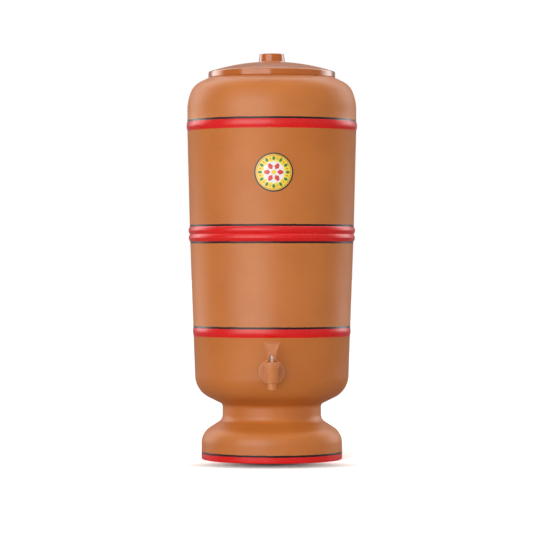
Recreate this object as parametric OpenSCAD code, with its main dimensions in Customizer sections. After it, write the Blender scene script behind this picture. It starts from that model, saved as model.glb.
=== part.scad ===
// Clay water filter: two stacked terracotta chambers on a hollow pedestal foot, with a ceramic candle,
// a float valve, a lever tap and a plastic lid. Millimetres, +Z up, the tap faces -Y.
// The origin is the centre of the ring that the foot rests on.

/* [Clay] */
// Thickness of the fired clay wall
clay_wall = 9; // [7:0.5:10]
// Thickness of each chamber's floor
clay_floor = 12; // [9:0.5:14]
// Play between the upper chamber's spigot and the mouth of the lower chamber
spigot_play = 1.6; // [1:0.1:2.5]
// Depth of the spigot under the parting line
spigot_h = 12; // [8:0.5:16]

/* [Foot and waist] */
// Radius of the foot
foot_r = 92.8; // [88:0.2:96]
// Height of the foot's upright side, up to the corner of its slope
foot_side_h = 34.8; // [30:0.2:40]
// Height of the slope between the foot and the waist
foot_slope_h = 18; // [14:0.5:22]
// Fillet of the foot's round shoulder
foot_shoulder_fillet = 24; // [12:1:26]
// Fillet of the foot's resting edge
foot_edge_fillet = 2; // [1:0.5:3]
// Radius of the waist
waist_r = 65; // [60:0.5:70]
// Height of the waist between its two slopes
waist_h = 20; // [17:0.5:26]
// Fillet where the foot's slope runs into the waist
waist_foot_fillet = 11; // [6:0.5:13]
// Fillet where the waist runs into the bowl
waist_bowl_fillet = 6; // [3:0.5:8]

/* [Lower chamber] */
// Height of the bowl's sloping underside
bowl_slope_h = 17.4; // [14:0.2:22]
// Radius of the bowl at the corner of its underside
bowl_r = 100.6; // [97:0.2:104]
// Fillet of the bowl's corner
bowl_fillet = 33; // [20:1:36]
// Height of the lower wall, from the bowl's corner to the parting line
lower_wall_h = 206.2; // [190:0.2:230]
// Radius of both chambers at the parting line
parting_r = 108; // [105:0.2:111]
// Height of the tap's axis above the bowl's corner
tap_above_bowl = 28.8; // [22:0.2:40]

/* [Upper chamber] */
// Height of the upper wall, from the parting line to the painted band
upper_wall_h = 137; // [110:1:160]
// Height of the upright wall from the band to the corner of the shoulder
shoulder_wall_h = 38.4; // [34:0.2:46]
// Radius at the painted band and the shoulder
shoulder_r = 111.4; // [109:0.2:115]
// Height of the shoulder's steep stretch
shoulder_h = 20.9; // [18:0.1:25]
// Width that the shoulder's steep stretch draws in
shoulder_draw = 8; // [6:0.2:10]
// Height of the roof's slope up to the lid's ledge
roof_h = 9.3; // [7:0.1:12]
// Fillet between the wall and the shoulder
shoulder_fillet = 59; // [30:1:60]
// Fillet between the shoulder and the roof
roof_fillet = 25; // [12:1:25]
// Radius of the filling mouth
mouth_r = 71; // [68:0.2:73]
// How far the flat ledge reaches past the lid's rim
ledge_margin = 0.8; // [0.5:0.1:2]
// Fillet of the floor's inner corner
floor_fillet = 12; // [6:1:14]

/* [Painted rings] */
// Height of the red ring painted round the foot
foot_band_h = 8; // [6:0.5:12]
// Height of each of the two beads at the parting line
parting_bead_h = 9.8; // [7:0.1:12]
// How far the parting beads stand out
parting_bead_proud = 1.8; // [1:0.1:2.5]
// Height of the upper bead
upper_bead_h = 11.3; // [8:0.1:14]
// How far the upper bead stands out
upper_bead_proud = 1.1; // [0.5:0.1:2]
// Height of the lower bead
lower_bead_h = 10.1; // [8:0.1:14]
// How far the lower bead stands out
lower_bead_proud = 0.7; // [0.4:0.1:2]
// Height of the lower bead's foot above the bowl's corner
lower_bead_above_bowl = 73.1; // [68:0.1:90]
// Height of a black line
line_h = 1.7; // [1:0.1:2.5]
// Thickness of the paint
paint_t = 0.15; // [0.1:0.01:0.2]

/* [Lid] */
// How far the lid's rim reaches past the mouth
lid_reach = 12.6; // [11:0.1:14]
// Height of the lid's upright rim
lid_rim_h = 8.2; // [6:0.2:11]
// Rise of the lid's dome over its rim
lid_rise = 13.5; // [9:0.1:18]
// Wall of the moulded lid
lid_wall = 2.2; // [1.6:0.1:2.8]
// Depth of the skirt that centres the lid in the mouth
skirt_h = 10.7; // [8:0.1:14]
// Play between the skirt and the mouth
skirt_play = 1.6; // [1:0.1:2.5]
// Radius of the knob where it leaves the dome
knob_r = 17.2; // [14:0.2:20]
// Radius of the knob's top
knob_top_r = 16.1; // [13:0.1:17]
// Height of the knob over the top of the dome
knob_h = 10.5; // [8:0.5:14]

/* [Badge] */
// Diameter of the plain round badge
badge_d = 50; // [40:1:56]
// Thickness of the badge
badge_t = 0.5; // [0.4:0.1:1]
// Height of the badge's centre above the parting line
badge_above_parting = 78.6; // [60:0.2:90]
// How far the badge sits to the right of the tap's centre line
badge_aside = 2.5; // [0:0.1:4]

/* [Tap] */
// Distance from the clay wall to the axis of the barrel
tap_reach = 27.7; // [26:0.1:32]
// Radius of the flange
flange_r = 17.1; // [15:0.1:19]
// Thickness of the flange
flange_t = 3.4; // [2.5:0.1:4.5]
// Radius of the threaded shank through the wall
shank_r = 7; // [6.6:0.1:8]
// Radius of the waterway through the shank
waterway_r = 4; // [3:0.1:4.4]
// Radius of the neck between the flange and the barrel
neck_r = 6; // [5.6:0.1:6.2]
// Radius of the barrel at its top
barrel_r = 9.6; // [9:0.1:10.2]
// Radius of the barrel at its foot
barrel_foot_r = 7.3; // [7:0.1:8.2]
// Height of the barrel below the tap's axis
barrel_below = 13.4; // [12:0.1:16]
// Height of the barrel above the tap's axis
barrel_above = 6.4; // [6.2:0.1:8]
// Radius of the valve chamber in the barrel
chamber_r = 6.1; // [5.8:0.1:6.3]
// Height of the valve seat below the tap's axis
seat_below = 8; // [7:0.1:9]
// Radius of the barrel's threaded collar under the bonnet
collar_r = 8; // [7.6:0.1:8.4]
// Radius of the spout at its top
spout_r = 5.65; // [5.2:0.05:6]
// Radius of the spout at its outlet
spout_tip_r = 5.2; // [4.8:0.05:5.6]
// Length of the spout below the barrel
spout_h = 8.7; // [7:0.1:11]
// Radius of the spout's bore
outlet_r = 3.6; // [3:0.1:4]
// Radius of the bonnet
bonnet_r = 10.3; // [9.8:0.1:11]
// Height of the bonnet
bonnet_h = 7.4; // [6.8:0.1:9]
// Number of grip grooves round the bonnet
bonnet_grooves = 20; // [12:2:24]
// Radius of a grip groove
groove_r = 0.75; // [0.5:0.05:0.9]

/* [Tap lever] */
// Radius of the stem
stem_r = 2; // [1.8:0.05:2.2]
// Height of the lever's pin above the bonnet when the tap is shut
pin_above = 5.2; // [5:0.1:6]
// Radius of the lever's pin
pin_r = 0.9; // [0.7:0.05:1]
// Height of the stem's tip above the pin
stem_tip = 3; // [2.6:0.1:3.2]
// Lift of the stem for each radian that the lever tilts
cam_lift = 3; // [2.5:0.1:3.5]
// Furthest tilt of the lever, in degrees
lever_tilt = 60; // [40:1:65]
// Width of the lever's neck and its two cam cheeks together
lever_neck_w = 10.5; // [9.6:0.1:11.5]
// Width of the window between the cheeks
window_w = 5.5; // [5:0.1:5.8]
// Width of the lever's grip at its top
grip_w = 22; // [16:0.1:24]
// Height of the grip's top above the pin
grip_top = 19.7; // [16:0.1:24]
// Height above the pin at which the grip starts to widen
grip_foot = 6.2; // [5:0.1:7]
// Thickness of the lever's neck
lever_neck_t = 5; // [4.4:0.1:5.6]
// Thickness of the grip at its top
grip_t = 3.4; // [2.6:0.1:4.4]
// How far the fork stands out in front of the grip
fork_step = 1; // [0.4:0.1:1.4]

/* [Candle] */
// Radius of the ceramic candle
candle_r = 27; // [24:0.5:30]
// Height of the ceramic shell, with its dome
candle_h = 95; // [80:1:110]
// Wall of the ceramic shell
candle_wall = 6; // [4:0.5:8]
// Height of the cup that holds the shell
candle_cup_h = 8; // [6:0.5:12]
// Wall of that cup
candle_cup_wall = 2.2; // [1.6:0.1:3]
// Thickness of the candle's base plate
candle_plate_t = 5; // [4:0.5:7]
// Radius of the candle's threaded stem
candle_stem_r = 6; // [5:0.1:6.5]
// Radius of the waterway in that stem
candle_bore_r = 2.5; // [1.5:0.1:3]
// Thickness of the rubber washers
washer_t = 2; // [1.5:0.1:3]

/* [Wing nut] */
// Radius of the nut's hub
nut_hub_r = 11; // [10:0.2:13]
// Height of the nut's hub
nut_h = 8; // [6:0.5:10]
// Radius of a wing
wing_r = 6; // [5:0.2:7]
// Thickness of a wing
wing_t = 3; // [2:0.2:4]

/* [Float valve] */
// Length of the stem below the wing nut
stem_below_nut = 24; // [20:0.5:30]
// Outer radius of the valve's cap
valve_r = 9.5; // [9:0.1:11]
// Height of the valve's cap
valve_h = 18; // [15:0.5:20]
// Length of the nozzle under the cap
nozzle_h = 3; // [2:0.1:4]
// Radius of the nozzle
nozzle_r = 3.5; // [3:0.1:4]
// Radius of the nozzle's bore
nozzle_bore_r = 1.5; // [1:0.1:2]
// Distance from the nozzle's axis to the pivot
pivot_back = 14; // [13:0.5:17]
// Radius of the pivot pin
pivot_pin_r = 1.5; // [1.2:0.1:1.8]
// Width of the float's arm
arm_w = 9.6; // [8:0.1:11]
// Thickness of the float's arm
arm_t = 3; // [2.6:0.1:4]
// Length of the arm from the nozzle's axis to the middle of the float
arm_reach = 34; // [30:0.5:40]
// Radius of the float
float_r = 16; // [13:0.5:18]
// Height of the float
float_h = 22; // [16:0.5:26]
// Angle that the arm hangs below level when the valve is open, in degrees
float_drop = 22; // [15:1:25]

/* [Hidden] */
$fn = 96;
wall_facets = 360;

// Shared fits
overrun = 1;
running_gap = 0.06;
seat_gap = 0.05;
rubber_gap = 0.3;
thread_gap = 0.1;

// Degrees between the points of a rounded corner, and the part of a side that one fillet may take
arc_step = 9;
fillet_share = 0.49;
groove_facets = 24;

// Shares of a size that shape one piece each
tip_round_share = 0.8;
toe_share = 0.8;
wing_rise_share = 0.9;
pad_share = 0.6;

// Levels of the clay, from the foot up
foot_slope_z = foot_side_h;
waist_z = foot_slope_z + foot_slope_h;
bowl_foot_z = waist_z + waist_h;
bowl_z = bowl_foot_z + bowl_slope_h;
parting_z = bowl_z + lower_wall_h;
upper_bead_z = parting_z + upper_wall_h;
shoulder_z = upper_bead_z + shoulder_wall_h;
roof_z = shoulder_z + shoulder_h;
ledge_z = roof_z + roof_h;
spigot_z = parting_z - spigot_h;
upper_floor_z = spigot_z + clay_floor;
lower_bead_z = bowl_z + lower_bead_above_bowl;

// Radii of the clay that follow from others
lid_r = mouth_r + lid_reach;
ledge_r = lid_r + ledge_margin;
roof_r = shoulder_r - shoulder_draw;
spigot_r = parting_r - clay_wall - spigot_play;
bead_root = 3;
spigot_fillet = 2;
mouth_fillet = 3;
ledge_fillet = 2;

// Colours
clay_colour = "#C87844";
red_paint = "#E42A26";
black_paint = "#1E0710";
lid_colour = "#C47034";
tap_colour = "#C97842";
milk_white = "#EDF2EA";
rubber_colour = "#3A3A3C";
silicone_colour = "#E9E4DA";
steel_colour = "#B9BCC0";
ceramic_colour = "#F2EFE6";
carbon_colour = "#232324";
valve_colour = "#2F6FB5";
badge_colour = "#FFE100";

// Points of one corner [x, y, fillet radius], rounded by an arc that touches both sides
function corner_points(before, here, after) =
    let (
        to_before = [before.x - here.x, before.y - here.y],
        to_after = [after.x - here.x, after.y - here.y],
        a = to_before / norm(to_before),
        b = to_after / norm(to_after),
        half = acos(max(-1, min(1, a * b))) / 2,
        room = min(norm(to_before), norm(to_after)) * fillet_share,
        cut = min(here[2] / tan(half), room),
        r = cut * tan(half),
        sweep = 180 - 2 * half,
        steps = ceil(sweep / arc_step),
        middle = [here.x, here.y],
        centre = middle + r / sin(half) * (a + b) / norm(a + b),
        from = middle + cut * a - centre,
        to = middle + cut * b - centre
    )
    here[2] == 0 || sweep < 1
        ? [middle]
        : [for (i = [0 : steps]) centre + (sin(sweep * (1 - i / steps)) * from + sin(sweep * i / steps) * to) / sin(sweep)];

// Closed outline through corners [x, y, fillet radius]
function rounded(corners) =
    let (n = len(corners))
    [for (i = [0 : n - 1]) each corner_points(corners[(i + n - 1) % n], corners[i], corners[(i + 1) % n])];

// Unit vector to the left of the way from a to b
function left_of(a, b) =
    let (way = [b.x - a.x, b.y - a.y] / norm([b.x - a.x, b.y - a.y]))
    [-way.y, way.x];

// A line of corners moved to its left by t, with fillets that stay parallel to the old ones
function inset(corners, t) =
    let (last = len(corners) - 1)
    [for (i = [0 : last])
        let (
            before = left_of(corners[max(i, 1) - 1], corners[max(i, 1)]),
            after = left_of(corners[min(i, last - 1)], corners[min(i, last - 1) + 1]),
            move = t * (before + after) / (1 + before * after),
            fillet = corners[i][2]
        )
        [corners[i].x + move.x, corners[i].y + move.y,
            fillet == 0 ? 0 : max(fillet - sign(cross(before, after)) * t, 0)]];

// A list of corners from index first to index last, and one turned end for end
function some(corners, first, last) = [for (i = [first : last]) corners[i]];
function turned(corners) = [for (i = [len(corners) - 1 : -1 : 0]) corners[i]];

// Outside of the lower clay, from the foot up
lower_outside = [
    [foot_r, 0, foot_edge_fillet],
    [foot_r, foot_slope_z, foot_shoulder_fillet],
    [waist_r, waist_z, waist_foot_fillet],
    [waist_r, bowl_foot_z, waist_bowl_fillet],
    [bowl_r, bowl_z, bowl_fillet],
    [parting_r, parting_z, 0]
];
lower_inset = inset(lower_outside, clay_wall);
bowl_floor_z = lower_inset[3].y;
foot_roof_z = bowl_floor_z - clay_floor;
foot_roof_fillet = 6;
bowl_floor_fillet = 20;

// Outside of the upper clay, from the parting line to the mouth
upper_outside = [
    [parting_r, parting_z, 0],
    [shoulder_r, upper_bead_z, 0],
    [shoulder_r, shoulder_z, shoulder_fillet],
    [roof_r, roof_z, roof_fillet],
    [ledge_r, ledge_z, ledge_fillet],
    [mouth_r, ledge_z, mouth_fillet]
];
upper_inset = inset(upper_outside, clay_wall);

// Radius of the clay's outside on the straight walls
function lower_wall_r(z) = bowl_r + (parting_r - bowl_r) * (z - bowl_z) / lower_wall_h;
function upper_wall_r(z) =
    parting_r + (shoulder_r - parting_r) * min((z - parting_z) / upper_wall_h, 1);

// Tap levels and places
tap_z = bowl_z + tap_above_bowl;
tap_wall_r = lower_wall_r(tap_z);
tap_y = -(tap_wall_r + tap_reach);
flange_back_y = -(tap_wall_r + washer_t);
barrel_foot_z = tap_z - barrel_below;
barrel_top_z = tap_z + barrel_above;
spout_z = barrel_foot_z - spout_h;
seat_z = tap_z - seat_below;
bonnet_top_z = barrel_top_z + bonnet_h;
bonnet_plate_t = 1.8;
bonnet_ceiling_z = bonnet_top_z - bonnet_plate_t;
collar_top_z = bonnet_ceiling_z - washer_t / 2;
pin_z = bonnet_top_z + pin_above;
hole_play = 0.6;
inner_stub = 2;
lock_nut_t = 6;
lock_nut_r = 12.5;
lock_nut_scallops = 8;
scallop_share = 0.22;
flange_edge = 1.2;
tap_inner_wall_r = tap_wall_r - clay_wall;
lock_nut_front_y = -(tap_inner_wall_r - washer_t);
shank_end_y = lock_nut_front_y + lock_nut_t + inner_stub;

// Seat cup, stem and spring
cup_foot_t = 2.4;
cup_foot_r = 5.2;
cup_wall = 0.6;
cup_neck_r = 5.4;
cup_flange_r = collar_r;
stem_foot_r = 4.6;
stem_foot_t = 1.4;
stem_foot_z = seat_z + cup_foot_t;
spring_z = stem_foot_z + stem_foot_t;
spring_h = bonnet_ceiling_z - spring_z;
spring_mean_r = 3.6;
spring_wire_r = 0.4;
spring_turns = 6;
spring_points = 14;
spring_sides = 6;

// Lever
cam_gap = 0.08;
cam_steps = 12;
cheek_heel = 3;
neck_round = 1;
stem_headroom = 0.8;
fork_roof_t = 1.6;
window_top = stem_tip + stem_headroom;
fork_top = window_top + fork_roof_t;

// Candle and float valve levels, from the upper chamber's floor
candle_gasket_r = 20;
candle_plate_z = upper_floor_z + washer_t;
candle_shell_z = candle_plate_z + candle_plate_t;
candle_cup_r = candle_r + thread_gap + candle_cup_wall;
candle_hole_r = candle_stem_r + hole_play;
nut_top_z = spigot_z - washer_t;
nut_z = nut_top_z - nut_h;
lower_washer_r = 16;
candle_stem_z = nut_z - stem_below_nut;
valve_floor_t = 4;
valve_z = candle_stem_z - valve_floor_t;
nozzle_z = valve_z - nozzle_h;
float_seal_t = 2;
float_seal_r = 3.9;
arm_top_z = nozzle_z - rubber_gap - float_seal_t;
pivot_z = arm_top_z - arm_t / 2;
ear_t = 2.4;
ear_gap = 0.3;
ear_r = 4.2;
arm_eye_r = 3;
float_edge = 4;
float_wall = 1.4;
float_top_z = arm_top_z - arm_t;
float_seam_z = float_top_z - float_h / 2;

function dome_radius() = (lid_r * lid_r + lid_rise * lid_rise) / (2 * lid_rise);
function dome_z(r) = ledge_z + lid_rim_h + lid_rise - dome_radius() + sqrt(pow(dome_radius(), 2) - r * r);

// A raised bead round a wall; low_r and high_r are the wall's radii at its two edges
module bead(z, h, proud, low_r, high_r) {
    steps = 8;
    rotate_extrude()
        polygon([
            [low_r - bead_root, z],
            for (i = [0 : steps])
                let (t = i / steps)
                [low_r + (high_r - low_r) * t + 4 * t * (1 - t) * proud, z + h * t],
            [high_r - bead_root, z + h]
        ]);
}

// A painted line round a wall
module painted_line(z, h, low_r, high_r) {
    rotate_extrude()
        polygon([
            [low_r - bead_root, z],
            [low_r + paint_t, z],
            [high_r + paint_t, z + h],
            [high_r - bead_root, z + h]
        ]);
}

// A bored washer, standing on z
module washer(z, outer, bore, t) {
    translate([0, 0, z])
        difference() {
            cylinder(r = outer, h = t);
            translate([0, 0, -overrun]) cylinder(r = bore, h = t + 2 * overrun);
        }
}

// Things drawn along +Z, laid so that they run out along the tap's axis from y
module along_tap(y) {
    translate([0, y, tap_z]) rotate([90, 0, 0]) children();
}

module lower_reservoir() {
    inner_top = [parting_r - clay_wall, parting_z, spigot_fillet];
    difference() {
        union() {
            color(clay_colour)
                rotate_extrude()
                    polygon(rounded(concat(
                        lower_outside,
                        [inner_top, lower_inset[4], [lower_inset[3].x, bowl_floor_z, bowl_floor_fillet]],
                        [[0, bowl_floor_z, 0], [0, foot_roof_z, 0]],
                        [[lower_inset[2].x, foot_roof_z, foot_roof_fillet]],
                        turned(some(lower_inset, 1, 2)),
                        [[foot_r - clay_wall, 0, foot_edge_fillet]]
                    )));
            color(red_paint) {
                bead(lower_bead_z, lower_bead_h, lower_bead_proud,
                    lower_wall_r(lower_bead_z), lower_wall_r(lower_bead_z + lower_bead_h));
                bead(parting_z - parting_bead_h, parting_bead_h, parting_bead_proud,
                    lower_wall_r(parting_z - parting_bead_h), parting_r);
                painted_line(foot_edge_fillet, foot_band_h - foot_edge_fillet, foot_r, foot_r);
            }
            color(black_paint) {
                painted_line(foot_band_h, line_h, foot_r, foot_r);
                painted_line(lower_bead_z + lower_bead_h, line_h,
                    lower_wall_r(lower_bead_z + lower_bead_h), lower_wall_r(lower_bead_z + lower_bead_h + line_h));
                painted_line(parting_z - parting_bead_h - line_h, line_h,
                    lower_wall_r(parting_z - parting_bead_h - line_h), lower_wall_r(parting_z - parting_bead_h));
            }
        }
        along_tap(-waist_r) cylinder(r = shank_r + hole_play, h = tap_reach - tap_y - waist_r);
    }
}

module upper_reservoir() {
    color(clay_colour)
        rotate_extrude()
            polygon(rounded(concat(
                [[candle_hole_r, spigot_z, 0], [spigot_r, spigot_z, spigot_fillet], [spigot_r, parting_z, 0]],
                upper_outside,
                turned(some(upper_inset, 1, 5)),
                [[parting_r - clay_wall, upper_floor_z, floor_fillet], [candle_hole_r, upper_floor_z, 0]]
            )));
    color(red_paint) {
        bead(parting_z, parting_bead_h, parting_bead_proud,
            parting_r, upper_wall_r(parting_z + parting_bead_h));
        bead(upper_bead_z, upper_bead_h, upper_bead_proud, shoulder_r, shoulder_r);
    }
    color(black_paint) {
        painted_line(parting_z + parting_bead_h, line_h,
            upper_wall_r(parting_z + parting_bead_h), upper_wall_r(parting_z + parting_bead_h + line_h));
        painted_line(upper_bead_z + upper_bead_h, line_h, shoulder_r, shoulder_r);
    }
}

// The lid is one moulding: a domed cap with an upright rim, a hollow knob and a centring skirt
module lid() {
    rim_top_z = ledge_z + lid_rim_h;
    rim_fillet = 2.6;
    knob_fillet = 1.4;
    skirt_r = mouth_r - skirt_play;
    steps = 8;
    knob_top_z = dome_z(0) + knob_h;
    rim_inner_r = lid_r - lid_wall;
    skirt_inner_r = skirt_r - lid_wall;
    knob_inner_r = knob_top_r - lid_wall;
    color(lid_colour)
        rotate_extrude()
            polygon(rounded([
                [0, knob_top_z - lid_wall, 0],
                [knob_inner_r, knob_top_z - lid_wall, knob_fillet],
                [knob_inner_r, dome_z(knob_inner_r) - lid_wall, knob_fillet],
                [skirt_inner_r, dome_z(skirt_inner_r) - lid_wall, 0],
                [skirt_inner_r, ledge_z - skirt_h, 0],
                [skirt_r, ledge_z - skirt_h, lid_wall / 2],
                [skirt_r, dome_z(skirt_r) - lid_wall, 0],
                [rim_inner_r, rim_top_z - lid_wall, 0],
                [rim_inner_r, ledge_z, 0],
                [lid_r, ledge_z, lid_wall / 4],
                [lid_r, rim_top_z, rim_fillet],
                for (i = [1 : steps - 1])
                    let (r = lid_r + (knob_r - lid_r) * i / steps)
                    [r, dome_z(r), 0],
                [knob_r, dome_z(knob_r), knob_fillet],
                [knob_top_r, knob_top_z, knob_fillet],
                [0, knob_top_z, 0]
            ]));
}

// A thin disc wrapped onto the wall's cone
module front_badge() {
    badge_z = parting_z + badge_above_parting;
    low_z = badge_z - badge_d;
    high_z = badge_z + badge_d;
    low_r = upper_wall_r(low_z) + seat_gap;
    high_r = parting_r + (shoulder_r - parting_r) * (high_z - parting_z) / upper_wall_h + seat_gap;
    color(badge_colour)
        intersection() {
            rotate_extrude($fn = wall_facets)
                polygon([
                    [low_r, low_z],
                    [low_r + badge_t, low_z],
                    [high_r + badge_t, high_z],
                    [high_r, high_z]
                ]);
            translate([badge_aside, 0, badge_z])
                rotate([90, 0, 0]) cylinder(d = badge_d, h = low_r + high_r);
        }
}

// The tap's moulded body: flange, shank, neck, barrel with its valve chamber and seat, and spout
module tap_body() {
    color(tap_colour)
        difference() {
            union() {
                along_tap(flange_back_y)
                    rotate_extrude()
                        polygon(rounded([
                            [0, 0, 0],
                            [flange_r, 0, 0],
                            [flange_r, flange_t, flange_edge],
                            [0, flange_t, 0]
                        ]));
                along_tap(shank_end_y) cylinder(r = shank_r, h = shank_end_y - flange_back_y + flange_t / 2);
                along_tap(flange_back_y - flange_t / 2)
                    cylinder(r = neck_r, h = flange_back_y - flange_t / 2 - tap_y);
                translate([0, tap_y, 0])
                    rotate_extrude()
                        polygon([
                            [0, spout_z],
                            [spout_tip_r, spout_z],
                            [spout_r, barrel_foot_z],
                            [barrel_foot_r, barrel_foot_z],
                            [barrel_r, barrel_top_z],
                            [collar_r, barrel_top_z],
                            [collar_r, collar_top_z],
                            [0, collar_top_z]
                        ]);
            }
            along_tap(shank_end_y + overrun)
                cylinder(r = waterway_r, h = shank_end_y + overrun - tap_y);
            translate([0, tap_y, seat_z]) cylinder(r = chamber_r, h = collar_top_z - seat_z + overrun);
            translate([0, tap_y, spout_z - overrun]) cylinder(r = outlet_r, h = seat_z - spout_z + 2 * overrun);
        }
}

// The round form of the lower chamber above the waist, grown by a gap
module bowl_form(gap) {
    form = inset(lower_outside, -gap);
    rotate_extrude($fn = wall_facets)
        polygon(rounded(concat([[0, form[3].y, 0]], some(form, 3, 5), [[0, form[5].y, 0]])));
}

// A rubber ring whose inner face is cut to the round wall
module tap_outer_washer() {
    color(rubber_colour)
        difference() {
            along_tap(flange_back_y + washer_t * 2) cylinder(r = flange_r - flange_edge, h = washer_t * 2);
            along_tap(0) cylinder(r = shank_r + running_gap, h = -tap_y);
            bowl_form(seat_gap);
        }
}

// The inner rubber ring, cut to the hollow of the wall
module tap_inner_washer() {
    color(rubber_colour)
        difference() {
            intersection() {
                along_tap(lock_nut_front_y) cylinder(r = lock_nut_r, h = washer_t * 2);
                bowl_form(-clay_wall - seat_gap);
            }
            along_tap(0) cylinder(r = shank_r + running_gap, h = -tap_y);
        }
}

// A plastic nut with finger scallops
module tap_lock_nut() {
    scallop_r = lock_nut_r * scallop_share;
    color(tap_colour)
        along_tap(lock_nut_front_y + lock_nut_t)
            linear_extrude(lock_nut_t)
                difference() {
                    circle(r = lock_nut_r);
                    circle(r = shank_r + thread_gap);
                    for (i = [0 : lock_nut_scallops - 1])
                        rotate(360 / lock_nut_scallops * (i + 1 / 2))
                            translate([lock_nut_r + scallop_r / 2, 0]) circle(r = scallop_r);
                }
}

// The screwed cap over the valve chamber, with grip grooves
module tap_bonnet() {
    color(tap_colour)
        translate([0, tap_y, barrel_top_z])
            difference() {
                linear_extrude(bonnet_h)
                    difference() {
                        circle(r = bonnet_r);
                        for (i = [0 : bonnet_grooves - 1])
                            rotate(360 / bonnet_grooves * (i + 1 / 2))
                                translate([bonnet_r + groove_r / 2, 0]) circle(r = groove_r, $fn = groove_facets);
                    }
                translate([0, 0, -overrun])
                    cylinder(r = collar_r + thread_gap, h = bonnet_ceiling_z - barrel_top_z + overrun);
                cylinder(r = stem_r + running_gap, h = bonnet_h + overrun);
            }
}

// The white stem: a foot inside the seat cup, a shaft and a rounded tip that carries the pin
module tap_stem() {
    tip_z = pin_z + stem_tip;
    color(milk_white)
        difference() {
            translate([0, tap_y, 0])
                rotate_extrude()
                    polygon(rounded([
                        [0, stem_foot_z, 0],
                        [stem_foot_r, stem_foot_z, 0],
                        [stem_foot_r, spring_z, 0],
                        [stem_r, spring_z, 0],
                        [stem_r, tip_z, stem_r * tip_round_share],
                        [0, tip_z, 0]
                    ]));
            translate([-stem_r - overrun, tap_y, pin_z])
                rotate([0, 90, 0]) cylinder(r = pin_r + running_gap, h = 2 * (stem_r + overrun));
        }
}

// The silicone cup: its foot shuts the outlet and its brim is clamped under the bonnet
module tap_seat_cup() {
    color(silicone_colour)
        translate([0, tap_y, 0])
            rotate_extrude()
                polygon([
                    [0, seat_z],
                    [cup_foot_r, seat_z],
                    [cup_neck_r, stem_foot_z],
                    [cup_neck_r, collar_top_z],
                    [cup_flange_r, collar_top_z],
                    [cup_flange_r, bonnet_ceiling_z],
                    [cup_neck_r - cup_wall, bonnet_ceiling_z],
                    [cup_neck_r - cup_wall, stem_foot_z],
                    [0, stem_foot_z]
                ]);
}

// A coil spring, swept along its helix
module tap_spring() {
    rise = spring_h - 2 * spring_wire_r;
    rings = spring_turns * spring_points;
    points = [
        for (i = [0 : rings])
            let (
                turn = 360 * i / spring_points,
                z = spring_z + spring_wire_r + rise * i / rings
            )
            for (k = [0 : spring_sides - 1])
                let (
                    a = 360 * k / spring_sides,
                    r = spring_mean_r + spring_wire_r * cos(a)
                )
                [r * cos(turn), tap_y + r * sin(turn), z + spring_wire_r * sin(a)]
    ];
    faces = [
        for (i = [0 : rings - 1])
            for (k = [0 : spring_sides - 1])
                let (
                    a = i * spring_sides + k,
                    b = i * spring_sides + (k + 1) % spring_sides
                )
                each [[a, b, b + spring_sides], [a, b + spring_sides, a + spring_sides]],
        [for (k = [spring_sides - 1 : -1 : 0]) k],
        [for (k = [0 : spring_sides - 1]) rings * spring_sides + k]
    ];
    color(steel_colour) polyhedron(points, faces);
}

module tap_pin() {
    pin_l = lever_neck_w - 2 * running_gap;
    color(steel_colour)
        translate([-pin_l / 2, tap_y, pin_z]) rotate([0, 90, 0]) cylinder(r = pin_r, h = pin_l);
}

// Foot of the lever seen from the side: an involute, whose distance from the pin to the bonnet
// grows in step with the tilt, so that the stem lifts evenly. y is forward, z up, from the pin.
function cam_point(tilt) =
    let (
        rise = pin_above - cam_gap + cam_lift * tilt * PI / 180
    )
    [-rise * sin(tilt) - cam_lift * cos(tilt), -rise * cos(tilt) + cam_lift * sin(tilt)];

// The lever: its front outline and its side outline are extruded and crossed
module tap_lever() {
    neck = lever_neck_w / 2;
    grip = grip_w / 2;
    foot_z = pin_above - cam_gap;
    cam_end = cam_point(lever_tilt + arc_step);
    side = concat(
        [[cheek_heel, -foot_z]],
        [for (i = [0 : cam_steps]) cam_point((lever_tilt + arc_step) * i / cam_steps)],
        [
            [cam_end.x * toe_share, cam_end.y + cheek_heel / 2],
            [-lever_neck_t / 2, stem_tip],
            [-lever_neck_t / 2, fork_top],
            [fork_step - lever_neck_t / 2, fork_top + fork_step / 2],
            [-grip_t / 2, grip_top],
            [grip_t / 2, grip_top],
            [lever_neck_t / 2, grip_foot],
            [cheek_heel, stem_tip]
        ]
    );
    front = rounded([
        [-neck, -foot_z, 0],
        [neck, -foot_z, 0],
        [neck, grip_foot, neck_round],
        [grip, grip_top, neck_round],
        [-grip, grip_top, neck_round],
        [-neck, grip_foot, neck_round]
    ]);
    deep = -cam_end.x + overrun;
    color(tap_colour)
        translate([0, tap_y, pin_z])
            difference() {
                intersection() {
                    translate([-grip, 0, 0])
                        rotate([90, 0, 90]) linear_extrude(grip_w) polygon(side);
                    translate([0, deep, 0])
                        rotate([90, 0, 0]) linear_extrude(2 * deep) polygon(front);
                }
                translate([0, deep, 0])
                    rotate([90, 0, 0])
                        linear_extrude(2 * deep) {
                            translate([0, window_top - window_w / 2]) circle(d = window_w);
                            translate([-window_w / 2, -pin_above - overrun])
                                square([window_w, pin_above + overrun + window_top - window_w / 2]);
                        }
                translate([-grip, 0, 0])
                    rotate([0, 90, 0]) cylinder(r = pin_r + running_gap, h = grip_w);
            }
}

// The hollow ceramic shell of the filter candle
module candle_shell() {
    dome_z = candle_shell_z + candle_h - candle_r;
    inner_r = candle_r - candle_wall;
    steps = 12;
    color(ceramic_colour)
        rotate_extrude()
            polygon([
                [inner_r, candle_shell_z],
                [candle_r, candle_shell_z],
                for (i = [0 : steps])
                    let (a = 90 * i / steps)
                    [candle_r * cos(a), dome_z + candle_r * sin(a)],
                for (i = [steps : -1 : 0])
                    let (a = 90 * i / steps)
                    [inner_r * cos(a), dome_z + inner_r * sin(a)]
            ]);
}

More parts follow.
